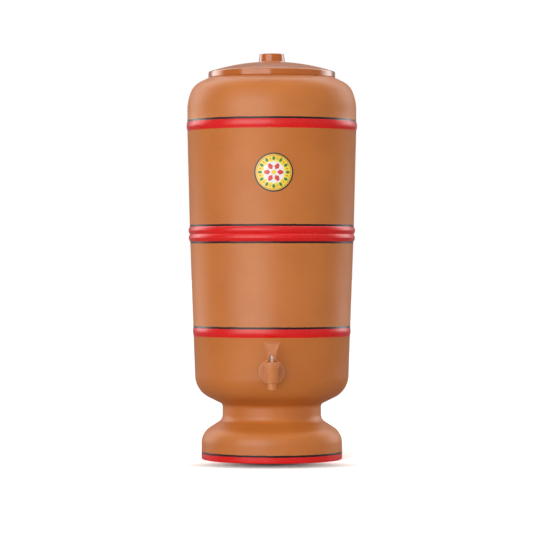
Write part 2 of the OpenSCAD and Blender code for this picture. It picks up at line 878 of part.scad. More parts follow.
// The activated carbon that fills the shell
module candle_core() {
    core_r = candle_r - candle_wall - seat_gap;
    dome_z = candle_shell_z + candle_h - candle_r;
    steps = 8;
    color(carbon_colour)
        rotate_extrude()
            polygon([
                [0, candle_shell_z],
                [core_r, candle_shell_z],
                for (i = [0 : steps])
                    let (a = 90 * i / steps)
                    [core_r * cos(a), dome_z + core_r * sin(a)]
            ]);
}

// The candle's plastic base: a cup for the shell, and the threaded stem through the clay floor
module candle_base() {
    inner_r = candle_r + thread_gap;
    cup_top_z = candle_shell_z + candle_cup_h;
    edge = candle_cup_wall;
    color(milk_white)
        rotate_extrude()
            polygon(rounded([
                [candle_bore_r, candle_stem_z, 0],
                [candle_stem_r, candle_stem_z, 0],
                [candle_stem_r, candle_plate_z, 0],
                [candle_cup_r, candle_plate_z, edge],
                [candle_cup_r, cup_top_z, edge / 2],
                [inner_r, cup_top_z, 0],
                [inner_r, candle_shell_z, 0],
                [candle_bore_r, candle_shell_z, 0]
            ]));
}

module candle_gasket() {
    color(rubber_colour) washer(upper_floor_z, candle_gasket_r, candle_stem_r + running_gap, washer_t);
}

module candle_lower_washer() {
    color(rubber_colour) washer(nut_top_z, lower_washer_r, candle_stem_r + running_gap, washer_t);
}

// The nut that clamps the candle to the floor, with two round wings
module candle_wing_nut() {
    wing_x = nut_hub_r + wing_r / 2;
    wing_z = nut_z + wing_r * wing_rise_share;
    color(milk_white)
        difference() {
            union() {
                translate([0, 0, nut_z]) cylinder(r = nut_hub_r, h = nut_h);
                for (side = [-1, 1])
                    translate([side * wing_x, wing_t / 2, wing_z])
                        rotate([90, 0, 0]) cylinder(r = wing_r, h = wing_t);
            }
            translate([0, 0, nut_z - overrun])
                cylinder(r = candle_stem_r + thread_gap, h = nut_h + 2 * overrun);
            translate([-wing_x - wing_r, -wing_t, nut_top_z])
                cube([2 * (wing_x + wing_r), 2 * wing_t, wing_r]);
        }
}

// The float valve's cap, screwed onto the stem: nozzle below, two ears behind for the pivot
module float_valve_body() {
    ear_x = arm_w / 2 + ear_gap;
    color(valve_colour)
        difference() {
            union() {
                translate([0, 0, valve_z]) cylinder(r = valve_r, h = valve_h);
                translate([0, 0, nozzle_z]) cylinder(r = nozzle_r, h = nozzle_h + overrun);
                for (side = [-1, 1])
                    translate([side * (ear_x + ear_t / 2) - ear_t / 2, 0, 0])
                        rotate([90, 0, 90])
                            linear_extrude(ear_t)
                                union() {
                                    translate([-pivot_back, pivot_z]) circle(r = ear_r);
                                    polygon([
                                        [-pivot_back - ear_r, pivot_z],
                                        [-pivot_back + ear_r, pivot_z],
                                        [-pivot_back + ear_r, valve_z],
                                        [0, valve_z],
                                        [0, valve_z + ear_r],
                                        [-pivot_back, valve_z + ear_r],
                                        [-pivot_back - ear_r, valve_z]
                                    ]);
                                }
            }
            translate([0, 0, candle_stem_z])
                cylinder(r = candle_stem_r + thread_gap, h = valve_h);
            translate([0, 0, nozzle_z - overrun])
                cylinder(r = nozzle_bore_r, h = nozzle_h + valve_floor_t + 2 * overrun);
            translate([-ear_x - ear_t - overrun, -pivot_back, pivot_z])
                rotate([0, 90, 0])
                    cylinder(r = pivot_pin_r + running_gap / 2, h = 2 * (ear_x + ear_t + overrun));
        }
}

module float_pivot_pin() {
    pin_l = arm_w + 2 * ear_gap + 2 * ear_t;
    color(steel_colour)
        translate([-pin_l / 2, -pivot_back, pivot_z]) rotate([0, 90, 0]) cylinder(r = pivot_pin_r, h = pin_l);
}

// Things drawn with the arm level, swung down to the open position that they rest in
module hanging() {
    translate([0, -pivot_back, pivot_z]) rotate([-float_drop, 0, 0]) translate([0, pivot_back, -pivot_z]) children();
}

// The float's arm: an eye at the pivot, a flat bar under the nozzle and a round pad on the float
module float_arm() {
    pad_r = float_r * pad_share;
    color(valve_colour)
        hanging()
            difference() {
                union() {
                    translate([-arm_w / 2, -pivot_back, pivot_z])
                        rotate([0, 90, 0]) cylinder(r = arm_eye_r, h = arm_w);
                    translate([-arm_w / 2, -pivot_back, arm_top_z - arm_t])
                        cube([arm_w, pivot_back + arm_reach, arm_t]);
                    translate([0, arm_reach, arm_top_z - arm_t]) cylinder(r = pad_r, h = arm_t);
                }
                translate([-arm_w / 2 - overrun, -pivot_back, pivot_z])
                    rotate([0, 90, 0]) cylinder(r = pivot_pin_r + running_gap, h = arm_w + 2 * overrun);
            }
}

module float_seal() {
    color(rubber_colour) hanging() translate([0, 0, arm_top_z]) cylinder(r = float_seal_r, h = float_seal_t);
}

// The float's two moulded halves meet at a level seam half way up
module float_cup() {
    color(milk_white)
        hanging()
            translate([0, arm_reach, 0])
                rotate_extrude()
                    polygon(rounded([
                        [0, float_seam_z - float_h / 2, 0],
                        [float_r, float_seam_z - float_h / 2, float_edge],
                        [float_r, float_seam_z, 0],
                        [float_r - float_wall, float_seam_z, 0],
                        [float_r - float_wall, float_seam_z - float_h / 2 + float_wall, float_edge - float_wall],
                        [0, float_seam_z - float_h / 2 + float_wall, 0]
                    ]));
}

module float_cap() {
    color(milk_white)
        hanging()
            translate([0, arm_reach, 0])
                rotate_extrude()
                    polygon(rounded([
                        [0, float_top_z - float_wall, 0],
                        [float_r - float_wall, float_top_z - float_wall, float_edge - float_wall],
                        [float_r - float_wall, float_seam_z, 0],
                        [float_r, float_seam_z, 0],
                        [float_r, float_top_z, float_edge],
                        [0, float_top_z, 0]
                    ]));
}

lower_reservoir();
upper_reservoir();
lid();
front_badge();
tap_body();
tap_outer_washer();
tap_inner_washer();
tap_lock_nut();
tap_bonnet();
tap_stem();
tap_seat_cup();
tap_spring();
tap_pin();
tap_lever();
candle_shell();
candle_core();
candle_base();
candle_gasket();
candle_lower_washer();
candle_wing_nut();
float_valve_body();
float_pivot_pin();
float_arm();
float_seal();
float_cup();
float_cap();
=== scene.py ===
# %% [markdown]
# # A clay water filter, dressed
# The measured model of the filter is loaded first and stays fixed. This script gives each of its
# pieces the surface of the real one: burnished terracotta with painted rings, a glossy moulded lid,
# a satin tap, and the candle and float valve inside. Everything is in metres, in the model's frame:
# Z is up, the tap looks towards -Y, and the origin is the centre of the ring the foot rests on.

# %% Load the fixed model
import bpy
import bmesh
import math
from mathutils import Matrix, Vector


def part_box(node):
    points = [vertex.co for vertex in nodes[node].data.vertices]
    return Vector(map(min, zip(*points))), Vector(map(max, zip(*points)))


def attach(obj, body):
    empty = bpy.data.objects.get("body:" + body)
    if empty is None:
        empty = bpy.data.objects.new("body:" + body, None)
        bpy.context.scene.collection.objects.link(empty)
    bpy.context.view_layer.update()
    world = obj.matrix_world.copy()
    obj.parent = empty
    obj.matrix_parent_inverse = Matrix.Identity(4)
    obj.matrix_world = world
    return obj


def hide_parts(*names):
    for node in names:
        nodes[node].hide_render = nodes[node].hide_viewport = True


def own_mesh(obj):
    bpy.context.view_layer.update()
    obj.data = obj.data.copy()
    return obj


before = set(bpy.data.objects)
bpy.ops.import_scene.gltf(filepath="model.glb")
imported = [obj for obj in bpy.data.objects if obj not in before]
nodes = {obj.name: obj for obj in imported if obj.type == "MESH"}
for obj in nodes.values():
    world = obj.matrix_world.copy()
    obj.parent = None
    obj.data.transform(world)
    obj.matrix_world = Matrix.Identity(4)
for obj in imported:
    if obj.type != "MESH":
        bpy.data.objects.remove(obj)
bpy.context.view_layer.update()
MM = 0.001

# %% [markdown]
# ## Writing node trees as sentences
# Materials and Geometry Nodes are both graphs of small boxes. Placing each box by hand hides the
# idea, so a small class wraps one output socket and lets Python's own operators add the Math nodes:
# `1 - mask` or `(z > low) * (z < high)` reads as it is meant. Every other node comes from one
# method that takes the node's kind, its settings and the values or links of its inputs.

# %% Value and Graph
class Value:
    """One output socket. Arithmetic and comparisons on it add Math nodes to its graph."""

    def __init__(self, graph, socket):
        self.graph, self.socket = graph, socket

    def math(self, operation, *others):
        inputs = dict(enumerate((self, *others)))
        return self.graph.node("ShaderNodeMath", {"operation": operation}, inputs)

    def __add__(self, other): return self.math("ADD", other)
    def __radd__(self, other): return self.math("ADD", other)
    def __sub__(self, other): return self.math("SUBTRACT", other)
    def __rsub__(self, other): return self.math("MULTIPLY", -1).math("ADD", other)
    def __mul__(self, other): return self.math("MULTIPLY", other)
    def __truediv__(self, other): return self.math("DIVIDE", other)
    def __neg__(self): return self.math("MULTIPLY", -1)
    def __gt__(self, other): return self.math("GREATER_THAN", other)
    def __lt__(self, other): return self.math("LESS_THAN", other)

    def smooth(self, low, high):
        """0 below low, 1 above high, and an even curve between them."""
        inputs = {"Value": self, "From Min": low, "From Max": high}
        return self.graph.node("ShaderNodeMapRange", {"interpolation_type": "SMOOTHSTEP"}, inputs)


class Graph:
    """A node tree that is being written: a node group's, or a material's or world's, emptied."""

    def __init__(self, owner):
        if hasattr(owner, "use_nodes"):
            owner.use_nodes = True
            owner.node_tree.nodes.clear()
        self.tree = getattr(owner, "node_tree", owner)

    def node(self, kind, settings=None, inputs=None, output=0):
        """Adds a node: settings first, then its sockets' values or links. Gives one output."""
        made = self.tree.nodes.new(kind)
        for key, value in (settings or {}).items():
            setattr(made, key, value)
        for key, value in (inputs or {}).items():
            if isinstance(value, Value):
                self.tree.links.new(value.socket, made.inputs[key])
            else:
                made.inputs[key].default_value = value
        return Value(self, made.outputs[output]) if len(made.outputs) else None

    def axes(self, vector):
        """The X, Y and Z of a vector."""
        split = self.node("ShaderNodeSeparateXYZ", inputs={0: vector})
        return [Value(self, output) for output in split.socket.node.outputs]

    def mix(self, share, first, second):
        """A colour part of the way from the first to the second."""
        colour = [(*c, 1) if isinstance(c, tuple) else c for c in (first, second)]
        inputs = {"Factor": share, 6: colour[0], 7: colour[1]}
        return self.node("ShaderNodeMix", {"data_type": "RGBA"}, inputs, output=2)


# %% [markdown]
# ## Camera
# The photo was taken from the front with a long lens, about level with the filter's middle. The
# lens, the distance and the height were fitted to the widths and the curved edges of the rings.

# %% Camera
LENS_MM, SENSOR_MM = 184.7, 36
CAMERA_AT = Vector((0, -3.61, 0.2645))
CAMERA_AIM = Vector((-0.007, 0, 0.2539))


def linked(name, data):
    """A new object in the scene."""
    made = bpy.data.objects.new(name, data)
    bpy.context.collection.objects.link(made)
    return made


def facing(start, aim):
    """The turn of a camera or a lamp that stands at start and looks at aim."""
    return (aim - start).to_track_quat("-Z", "Y").to_euler()


lens = bpy.data.cameras.new("camera")
lens.lens, lens.sensor_width = LENS_MM, SENSOR_MM
camera = linked("camera", lens)
camera.location = CAMERA_AT
camera.rotation_euler = facing(CAMERA_AT, CAMERA_AIM)
bpy.context.scene.camera = camera
bpy.context.scene.view_settings.view_transform = "Standard"
print("camera", tuple(camera.location), "lens", lens.lens)

# %% [markdown]
# ## Light
# The photo is a studio picture on white. One large softbox stands in front on the left: it shows as
# a pale band in the lid's rim and as a soft band down the clay. All levels of light were fitted to
# the photo. For that the softbox had to look more than twice as bright in a gloss as the light it
# throws, so a second lamp in its place lights glosses alone. The right front has a weaker fill. The
# world is built from its direction: what a mirror sees of it is dim in front and behind, brightest
# to the sides and bright overhead; what lights a matt surface is dimmed overhead; to the camera it
# is white.

# %% Softbox and world
SOFTBOX_TURN = math.radians(-29)
SOFTBOX_FAR, SOFTBOX_HEIGHT = 2.0, 0.78
SOFTBOX_WIDE, SOFTBOX_HIGH = 2.0, 1.5
SOFTBOX_LIGHT, SOFTBOX_FACE = 2.25, 3.2


def softbox(name, radiance):
    lamp = bpy.data.lights.new(name, "AREA")
    lamp.shape, lamp.size, lamp.size_y = "RECTANGLE", SOFTBOX_WIDE, SOFTBOX_HIGH
    lamp.energy = radiance * math.pi * SOFTBOX_WIDE * SOFTBOX_HIGH
    made = linked(name, lamp)
    aside, ahead = SOFTBOX_FAR * math.sin(SOFTBOX_TURN), SOFTBOX_FAR * math.cos(SOFTBOX_TURN)
    made.location = (aside, -ahead, SOFTBOX_HEIGHT)
    made.rotation_euler = facing(made.location, Vector((0, 0, SOFTBOX_HEIGHT)))
    made.visible_camera = False
    print(name, round(lamp.energy, 1), "W")
    return made


softbox("softbox_light", SOFTBOX_LIGHT)
softbox("softbox_face", SOFTBOX_FACE).visible_diffuse = False

WORLD_FRONT, WORLD_BACK, WORLD_FILL, WORLD_ABOVE = 0.70, 0.40, 1.00, 0.22
MIRROR_FRONT, MIRROR_SIDES, MIRROR_BACK, MIRROR_ABOVE = 0.3, 4.2, 0.34, 2.4
FILL_ACROSS, FILL_AHEAD = 0.62, 0.78
# Each pair says where a level starts and ends to change, as the share of a direction that points
# at the fill, to the back or up.
FILL_EDGE, FILL_TOP = (0.2, 1.0), (0.1, 0.6)
SOFT_BACK, SOFT_TOP = (0.0, 0.6), (0.3, 0.85)
SIDES_EDGE, BACK_EDGE, TOP_EDGE = (0.05, 0.5), (0.62, 0.86), (0.5, 0.8)

world = bpy.data.worlds.new("studio")
bpy.context.scene.world = world
sky = Graph(world)
across, depth, up = sky.axes(sky.node("ShaderNodeTexCoord", output="Generated"))
rays = ("Is Camera Ray", "Is Glossy Ray", "Is Transmission Ray")
camera_ray, glossy_ray, clear_ray = (sky.node("ShaderNodeLightPath", output=ray) for ray in rays)
fill = (across * FILL_ACROSS - depth * FILL_AHEAD).smooth(*FILL_EDGE)
fill = fill * (1 - up.smooth(*FILL_TOP)) * WORLD_FILL
soft_level = WORLD_FRONT + depth.smooth(*SOFT_BACK) * (WORLD_BACK - WORLD_FRONT) + fill
soft_level = soft_level * (1 - up.smooth(*SOFT_TOP) * (1 - WORLD_ABOVE))
mirror_level = MIRROR_FRONT + depth.smooth(*SIDES_EDGE) * (MIRROR_SIDES - MIRROR_FRONT)
mirror_level = mirror_level + depth.smooth(*BACK_EDGE) * (MIRROR_BACK - MIRROR_SIDES)
mirror_level = mirror_level.math("MAXIMUM", up.smooth(*TOP_EDGE) * MIRROR_ABOVE)
level = soft_level + glossy_ray * (mirror_level - soft_level)
level = level + camera_ray.math("MAXIMUM", clear_ray) * (1 - level)
light = sky.node("ShaderNodeBackground", inputs={"Color": (1, 1, 1, 1), "Strength": level})
sky.node("ShaderNodeOutputWorld", inputs={"Surface": light})
print("world", len(sky.tree.nodes), "nodes")

# %% [markdown]
# ## Floor
# A pale table top that burns out to white, as in the photo, and keeps a dark, close shadow where
# the foot touches it: the real shadow, deepened by a painted shadow in the floor's colour. To the
# camera it is paler than paper, so that only that shadow stays below white; to everything else it
# is plain pale board, so it throws no extra light. In the photo the shade lies in front of the
# foot: the painted shadow is made from an occlusion that looks up and back, and is strongest there.

# %% Floor
FLOOR_SIDE = 60.0
FLOOR_PALE, FLOOR_SEEN = 0.85, 3.5
FIBRE_SCALE, FIBRE_DEPTH = 60.0, 0.03
SHADOW_REACH, SHADOW_STEEP = 0.13, 9.5
SHADOW_SIDE, SHADOW_AHEAD = 0.36, 1.05
UP_AND_BACK = (0, 0.7, 0.7)

bm = bmesh.new()
bmesh.ops.create_grid(bm, x_segments=1, y_segments=1, size=FLOOR_SIDE / 2)
floor_mesh = bpy.data.meshes.new("floor")
bm.to_mesh(floor_mesh)
bm.free()
floor = linked("floor", floor_mesh)
board = bpy.data.materials.new("pale_board")
sheet = Graph(board)
to_camera = sheet.node("ShaderNodeLightPath", output="Is Camera Ray")
place = sheet.node("ShaderNodeTexCoord", output="Object")
fibres = {"Vector": place, "Scale": FIBRE_SCALE, "Detail": 4.0}
fibre = sheet.node("ShaderNodeTexNoise", inputs=fibres)
look = {"Distance": SHADOW_REACH, "Normal": UP_AND_BACK}
open_sky = sheet.node("ShaderNodeAmbientOcclusion", {"samples": 12}, look, "AO")
right, behind, _ = sheet.axes(place)
ahead = -behind / (right * right + behind * behind).math("SQRT")
# Painted shadow: where the occlusion finds the foot close by, mostly in front of it, the floor's
# colour as the camera sees it is darkened.
painted_shadow = ahead.smooth(SHADOW_SIDE, SHADOW_AHEAD) * (1 - open_sky.math("POWER", SHADOW_STEEP))
seen = (1 - painted_shadow) * FLOOR_SEEN
shade = FLOOR_PALE + to_camera * (seen - FLOOR_PALE) + (fibre - 0.5) * FIBRE_DEPTH
colour = sheet.node("ShaderNodeCombineColor", inputs={0: shade, 1: shade, 2: shade})
paper = sheet.node("ShaderNodeBsdfDiffuse", inputs={"Color": colour})
sheet.node("ShaderNodeOutputMaterial", inputs={"Surface": paper})
floor_mesh.materials.append(board)
print("floor", FLOOR_SIDE, "m wide")

# %% [markdown]
# ## A finish
# A finish is a Principled shader with its colour, its gloss and its small relief written as
# expressions. `grain` is noise whose size is given in millimetres, since a maker thinks of clay
# grain or a scratch in millimetres. Stretching it along an axis turns it into turning lines. A
# plain number after a grain is a noise level, a share of a colour or a step of roughness.

# %% Finish
NOISE_RANGE = (0.3, 0.7)


class Finish(Graph):
    """A material whose values are written with Python expressions."""

    def __init__(self, name):
        self.material = bpy.data.materials.new(name)
        super().__init__(self.material)
        self.place = self.node("ShaderNodeTexCoord", output="Object")

    def grain(self, size_mm, detail=3.0, rough=0.5, stretch=(1, 1, 1)):
        """Noise mostly in NOISE_RANGE, its spots size_mm across. A stretch of 20 is 20 times finer."""
        where = self.node("ShaderNodeMapping", inputs={"Vector": self.place, "Scale": stretch})
        inputs = {"Vector": where, "Scale": 1 / (size_mm * MM), "Detail": detail, "Roughness": rough}
        return self.node("ShaderNodeTexNoise", inputs=inputs)

    def relief(self, height, depth_mm, strength):
        """A bump whose height runs from 0 to 1 over depth_mm."""
        inputs = {"Height": height, "Distance": depth_mm * MM, "Strength": strength}
        return self.node("ShaderNodeBump", inputs=inputs)

    def surface(self, colour, roughness, bump, metallic=0.0, **fixed):
        """Closes the finish. fixed holds the shader's other values, such as Coat_Weight."""
        inputs = {"Base Color": colour, "Roughness": roughness, "Metallic": metallic}
        inputs.update({key.replace("_", " "): value for key, value in fixed.items()})
        shader = self.node("ShaderNodeBsdfPrincipled", inputs={**inputs, "Normal": bump})
        self.node("ShaderNodeOutputMaterial", inputs={"Surface": shader})
        print("finish", self.material.name, len(self.tree.nodes), "nodes")
        return self.material


# %% [markdown]
# ## Rounded outlines
# Most pieces here are turned: one outline swept round an axis. An outline is a list of corners
# [radius, height, fillet] in millimetres. Each corner is replaced by an arc that touches both of
# its sides, and a wall's inner outline is the outer one moved in by the wall's thickness, so that
# the fillets stay parallel.

# %% Outline helpers
ARC_STEP, ARC_LEAST = math.radians(4), math.radians(1)
FILLET_SHARE = 0.49
STRAIGHT = 1e-9


def shares(count):
    """Even parts from 0 to 1, with both ends."""
    return [i / count for i in range(count + 1)]


def corner_arc(before, here, after):
    """The points that round one corner."""
    middle = Vector(here[:2])
    a, b = Vector(before[:2]) - middle, Vector(after[:2]) - middle
    room = min(a.length, b.length) * FILLET_SHARE
    half = a.angle(b) / 2
    sweep = math.pi - 2 * half
    if here[2] == 0 or sweep < ARC_LEAST:
        return [middle]
    a, b = a.normalized(), b.normalized()
    cut = min(here[2] / math.tan(half), room)
    radius = cut * math.tan(half)
    centre = middle + (a + b).normalized() * radius / math.sin(half)
    start, end = middle + cut * a - centre, middle + cut * b - centre
    steps = max(2, math.ceil(sweep / ARC_STEP))
    full = math.sin(sweep)
    return [centre + (math.sin(sweep * (1 - t)) * start + math.sin(sweep * t) * end) / full
            for t in shares(steps)]


def rounded(corners, closed=True):
    """The outline through corners [radius, height, fillet]."""
    count = len(corners)
    points = []
    for i, here in enumerate(corners):
        if not closed and i in (0, count - 1):
            points.append(Vector(here[:2]))
        else:
            points += corner_arc(corners[i - 1], here, corners[(i + 1) % count])
    return points


def inset(corners, move):
    """A line of corners moved to its left, with fillets that stay parallel to the old ones."""
    ways = [(Vector(b[:2]) - Vector(a[:2])).normalized() for a, b in zip(corners, corners[1:])]
    lefts = [Vector((-w.y, w.x)) for w in ways]
    moved = []
    for i, corner in enumerate(corners):
        before, after = lefts[max(i, 1) - 1], lefts[min(i, len(lefts) - 1)]
        step = move * (before + after) / (1 + before.dot(after))
        turn = before.x * after.y - before.y * after.x
        side = (turn > STRAIGHT) - (turn < -STRAIGHT)
        fillet = max(corner[2] - side * move, 0) if corner[2] else 0
        moved.append([corner[0] + step.x, corner[1] + step.y, fillet])
    return moved


# %% [markdown]
# ## Turning an outline
# Blender can turn an outline with the Screw or Spin tool. Here it is one Geometry Nodes tree, since
# the same rule makes a crock, a lid, a pin and a fluted cap: a grid is laid out, one side counts
# the steps round the axis and the other the points of the outline, and each grid point takes its
# radius and height from the outline. Attributes on the outline say where flutes or a thread bite
# into it, and which of its points are the outside; that last mark is kept on the mesh, for the
# finish to read.

# %% The turning tree
SHARP_ANGLE = math.radians(32)
WELD = 1e-6


def open_tree(name, *sockets):
    """A Geometry Nodes tree with these inputs, as a Graph, and its inputs by name."""
    tree = bpy.data.node_groups.new(name, "GeometryNodeTree")
    ends = ("Geometry", "Geometry", None), ("Finish", "Material", None)
    for label, kind, start in (ends[0], *sockets, ends[1]):
        socket = tree.interface.new_socket(
            label, in_out="INPUT", socket_type="NodeSocket" + kind)
        if start is not None:
            socket.default_value = start
    tree.interface.new_socket("Geometry", in_out="OUTPUT", socket_type="NodeSocketGeometry")
    g = Graph(tree)
    given = tree.nodes.new("NodeGroupInput").outputs
    return g, {socket.name: Value(g, socket) for socket in given if socket.name}


def close_tree(g, form, finish):
    """Shades the form smooth, makes it real, gives it its finish and ends the tree."""
    smooth = {"Geometry": form, "Shade Smooth": True}
    form = g.node("GeometryNodeSetShadeSmooth", {"domain": "FACE"}, smooth)
    form = g.node("GeometryNodeRealizeInstances", inputs={"Geometry": form})
    form = g.node("GeometryNodeSetMaterial", inputs={"Geometry": form, "Material": finish})
    g.node("NodeGroupOutput", inputs={"Geometry": form})
    return g.tree


def turning_tree():
    """A tree that sweeps the modifier's own outline round Z."""
    g, wanted = open_tree(
        "turn_outline", ("Steps", "Int", 192), ("Flutes", "Int", 0), ("Flute Depth", "Float", 0.0),
        ("Flute Width", "Float", 0.5), ("Thread Pitch", "Float", 0.002),
        ("Thread Depth", "Float", 0.0), ("Sharp Angle", "Float", SHARP_ANGLE))
    outline, steps = wanted["Geometry"], wanted["Steps"]
    mesh_only = {"component": "MESH"}
    count = g.node(
        "GeometryNodeAttributeDomainSize", mesh_only, {"Geometry": outline}, "Point Count")
    size = {"Size X": 1.0, "Size Y": 1.0, "Vertices X": steps + 1, "Vertices Y": count}
    grid = g.node("GeometryNodeMeshGrid", inputs=size)
    spot = g.node("GeometryNodeInputPosition")
    across, along = (part + 0.5 for part in g.axes(spot)[:2])
    index = (along * (count - 1)).math("ROUND")
    turn = (across * steps).math("ROUND") / steps * math.tau

    def taken(kind, value):
        settings = {"data_type": kind, "domain": "POINT"}
        inputs = {"Geometry": outline, "Value": value, "Index": index}
        return g.node("GeometryNodeSampleIndex", settings, inputs)

    def mark(name):
        settings = {"data_type": "FLOAT"}
        return taken("FLOAT", g.node("GeometryNodeInputNamedAttribute", settings, {"Name": name}))

    radius, _, height = g.axes(taken("FLOAT_VECTOR", spot))
    flute = (turn * wanted["Flutes"]).math("COSINE").smooth(1 - wanted["Flute Width"] * 2, 1.0)
    climb = (height / wanted["Thread Pitch"] * math.tau - turn).math("COSINE").smooth(-1.0, 1.0)
    radius = radius - flute * mark("flute") * wanted["Flute Depth"]
    radius = radius - climb * mark("thread") * wanted["Thread Depth"]
    target = g.node("ShaderNodeCombineXYZ", inputs={
        "X": radius * turn.math("COSINE"), "Y": radius * turn.math("SINE"), "Z": height})
    settings = {"data_type": "FLOAT", "domain": "POINT"}
    kept = {"Geometry": grid, "Name": "outside", "Value": mark("outside")}
    form = g.node("GeometryNodeStoreNamedAttribute", settings, kept)
    form = g.node("GeometryNodeSetPosition", inputs={"Geometry": form, "Position": target})
    form = g.node("GeometryNodeMergeByDistance", inputs={"Geometry": form, "Distance": WELD})
    soft = g.node("GeometryNodeInputMeshEdgeAngle") < wanted["Sharp Angle"]
    edges = {"Geometry": form, "Shade Smooth": soft}
    form = g.node("GeometryNodeSetShadeSmooth", {"domain": "EDGE"}, edges)
    return close_tree(g, form, wanted["Finish"])


TURNING = turning_tree()
print("turning tree", len(TURNING.nodes), "nodes")

# %% [markdown]
# The tree is used through a modifier. The turned form is then made a plain mesh with its faces
# outward, and the mesh is settled as a piece: it stands for a node of the model and rides on that
# node's body.

# %% Turned pieces
def set_inputs(modifier, values):
    """Sets a Geometry Nodes modifier's inputs by their socket's identifier."""
    for item in modifier.node_group.interface.items_tree:
        if item.item_type == "SOCKET" and item.in_out == "INPUT" and item.name in values:
            modifier[item.identifier] = values[item.name]


def plain_mesh(obj, name):
    """The evaluated object as a mesh of its own; the object with its modifiers is removed."""
    evaluated = obj.evaluated_get(bpy.context.evaluated_depsgraph_get())
    mesh = bpy.data.meshes.new_from_object(evaluated)
    mesh.name = name
    bpy.data.objects.remove(obj)
    return mesh


def outward(mesh):
    """Turns a closed mesh's faces out if they point in."""
    bm = bmesh.new()
    bm.from_mesh(mesh)
    if bm.calc_volume(signed=True) < 0:
        bmesh.ops.reverse_faces(bm, faces=bm.faces)
        bm.to_mesh(mesh)
    bm.free()
    return mesh


def ring_of(points):
    """The outline as a line: a loop closes on itself, a solid starts and ends on the axis."""
    for i in range(len(points)):
        if points[i - 1][0] < WELD and points[i][0] < WELD:
            return points[i:] + points[:i]
    return points + points[:1]


def turned_mesh(name, points, finish, steps, marks=None, place=None, **inputs):
    """Turns an outline in mm. marks gives a point's share of "flute", "thread" or "outside"."""
    ring = ring_of([tuple(p[:2]) for p in points])
    mesh = bpy.data.meshes.new(name + "_outline")
    lines = [(i, i + 1) for i in range(len(ring) - 1)]
    mesh.from_pydata([(p[0] * MM, 0, p[1] * MM) for p in ring], lines, [])
    for mark, share in (marks or {}).items():
        attribute = mesh.attributes.new(mark, "FLOAT", "POINT")
        attribute.data.foreach_set("value", [share(p) for p in ring])
    obj = linked(name, mesh)
    modifier = obj.modifiers.new("turning", "NODES")
    modifier.node_group = TURNING
    set_inputs(modifier, {"Steps": steps, "Finish": finish, **inputs})
    made = outward(plain_mesh(obj, name))
    if place is not None:
        made.transform(place)
    return made


def settle(mesh, name, node_name, body):
    """Makes the mesh a piece that stands for a node and rides on its body."""
    piece = linked(name, mesh)
    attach(piece, body)
    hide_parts(node_name)
    print("piece", name, len(mesh.polygons), "faces")
    return piece


def turn_piece(name, node_name, body, finish_slot, finish, steps, points, **more):
    """Turns an outline and settles it as a piece."""
    mesh = turned_mesh(name, points, finish, steps, **more)
    return settle(mesh, name, node_name, body)


# %% [markdown]
# ## Terracotta with painted rings
# The clay is fired red earthenware, burnished to a satin: close up it has a fine grain, a few dark
# specks, faint level lines from the turning wheel and slow changes of tone. The red rings and the
# black lines are enamel put on with a brush, so their edges wander by a hair. They are painted by
# height, and only where the mesh is marked as outside; the inside is raw, paler and rougher.

# %% Clay finish
CLAY, CLAY_PALE, CLAY_DEEP = (0.572, 0.170, 0.025), (0.63, 0.197, 0.035), (0.494, 0.128, 0.018)
CLAY_RAW, SPECK = (0.56, 0.25, 0.13), (0.16, 0.05, 0.025)
RED, RED_DEEP, BLACK = (0.76, 0.006, 0.005), (0.66, 0.004, 0.003), (0.014, 0.006, 0.008)
RED_RINGS = [(-2.0, 8.0), (162.3, 173.4), (286.6, 306.2), (432.1, 443.9)]
BLACK_LINES = [(8.0, 10.6), (173.4, 176.0), (284.1, 286.6), (306.2, 308.8), (443.9, 446.6)]


def clay_finish():
    f = Finish("painted_terracotta")
    outside = f.node("ShaderNodeAttribute", {"attribute_name": "outside"}, output="Fac")
    wander = (f.grain(9, 2.0) - 0.5) * 0.0011
    hair = (f.grain(1.2, 1.0) - 0.5) * 0.00025
    level = f.axes(f.place)[2] + wander + hair

    def rings(bands):
        total = sum((level > low * MM) * (level < high * MM) for low, high in bands)
        return total.math("MINIMUM", 1.0) * outside

    red, black = rings(RED_RINGS), rings(BLACK_LINES)
    paint = red.math("MAXIMUM", black)
    tone = f.grain(70, 3.0)
    lines = f.grain(60, 3.0, 0.6, stretch=(1, 1, 45))
    grit = f.grain(0.7, 4.0, 0.6)
    specks = f.grain(1.6, 1.0).smooth(0.71, 0.76)
    clay = f.mix(tone.smooth(*NOISE_RANGE), CLAY_DEEP, CLAY_PALE)
    clay = f.mix(0.62, clay, CLAY)
    clay = f.mix(lines.smooth(0.35, 0.75) * 0.14, clay, CLAY_PALE)
    clay = f.mix(grit.smooth(0.45, 0.8) * 0.20, clay, CLAY_DEEP)
    clay = f.mix(specks * 0.35, clay, SPECK)
    raw = f.mix(grit.smooth(*NOISE_RANGE) * 0.5 + 0.2, clay, CLAY_RAW)
    clay = f.mix(outside, raw, clay)
    brush = f.grain(5, 2.0, 0.5, stretch=(1, 1, 9))
    enamel = f.mix(brush.smooth(0.25, 0.6), RED_DEEP, RED)
    colour = f.mix(black, f.mix(red, clay, enamel), BLACK)
    burnish = 0.45 + (f.grain(25, 3.0) - 0.5) * 0.14 + (1 - outside) * 0.38
    roughness = burnish + paint * (0.30 + (brush - 0.5) * 0.16 - burnish)
    height = (grit - 0.5) * 0.3 * (1 - paint * 0.6) + (lines - 0.5) * 0.3
    height = height + paint * (brush * 0.6 + 0.4) + (1 - outside) * grit
    return f.surface(colour, roughness, f.relief(height, 0.10, 0.5), IOR=1.42)


FIRED_CLAY = clay_finish()

# %% [markdown]
# ## The lower chamber
# Foot, waist and bowl are one fired piece: the foot is a hollow bell, a solid floor closes the
# waist, and the wall rises almost straight to the parting line. A raised bead is thrown where each
# red ring goes, except at the foot. The outline is a closed loop, outside and inside, so the piece
# is a real wall and not a skin.

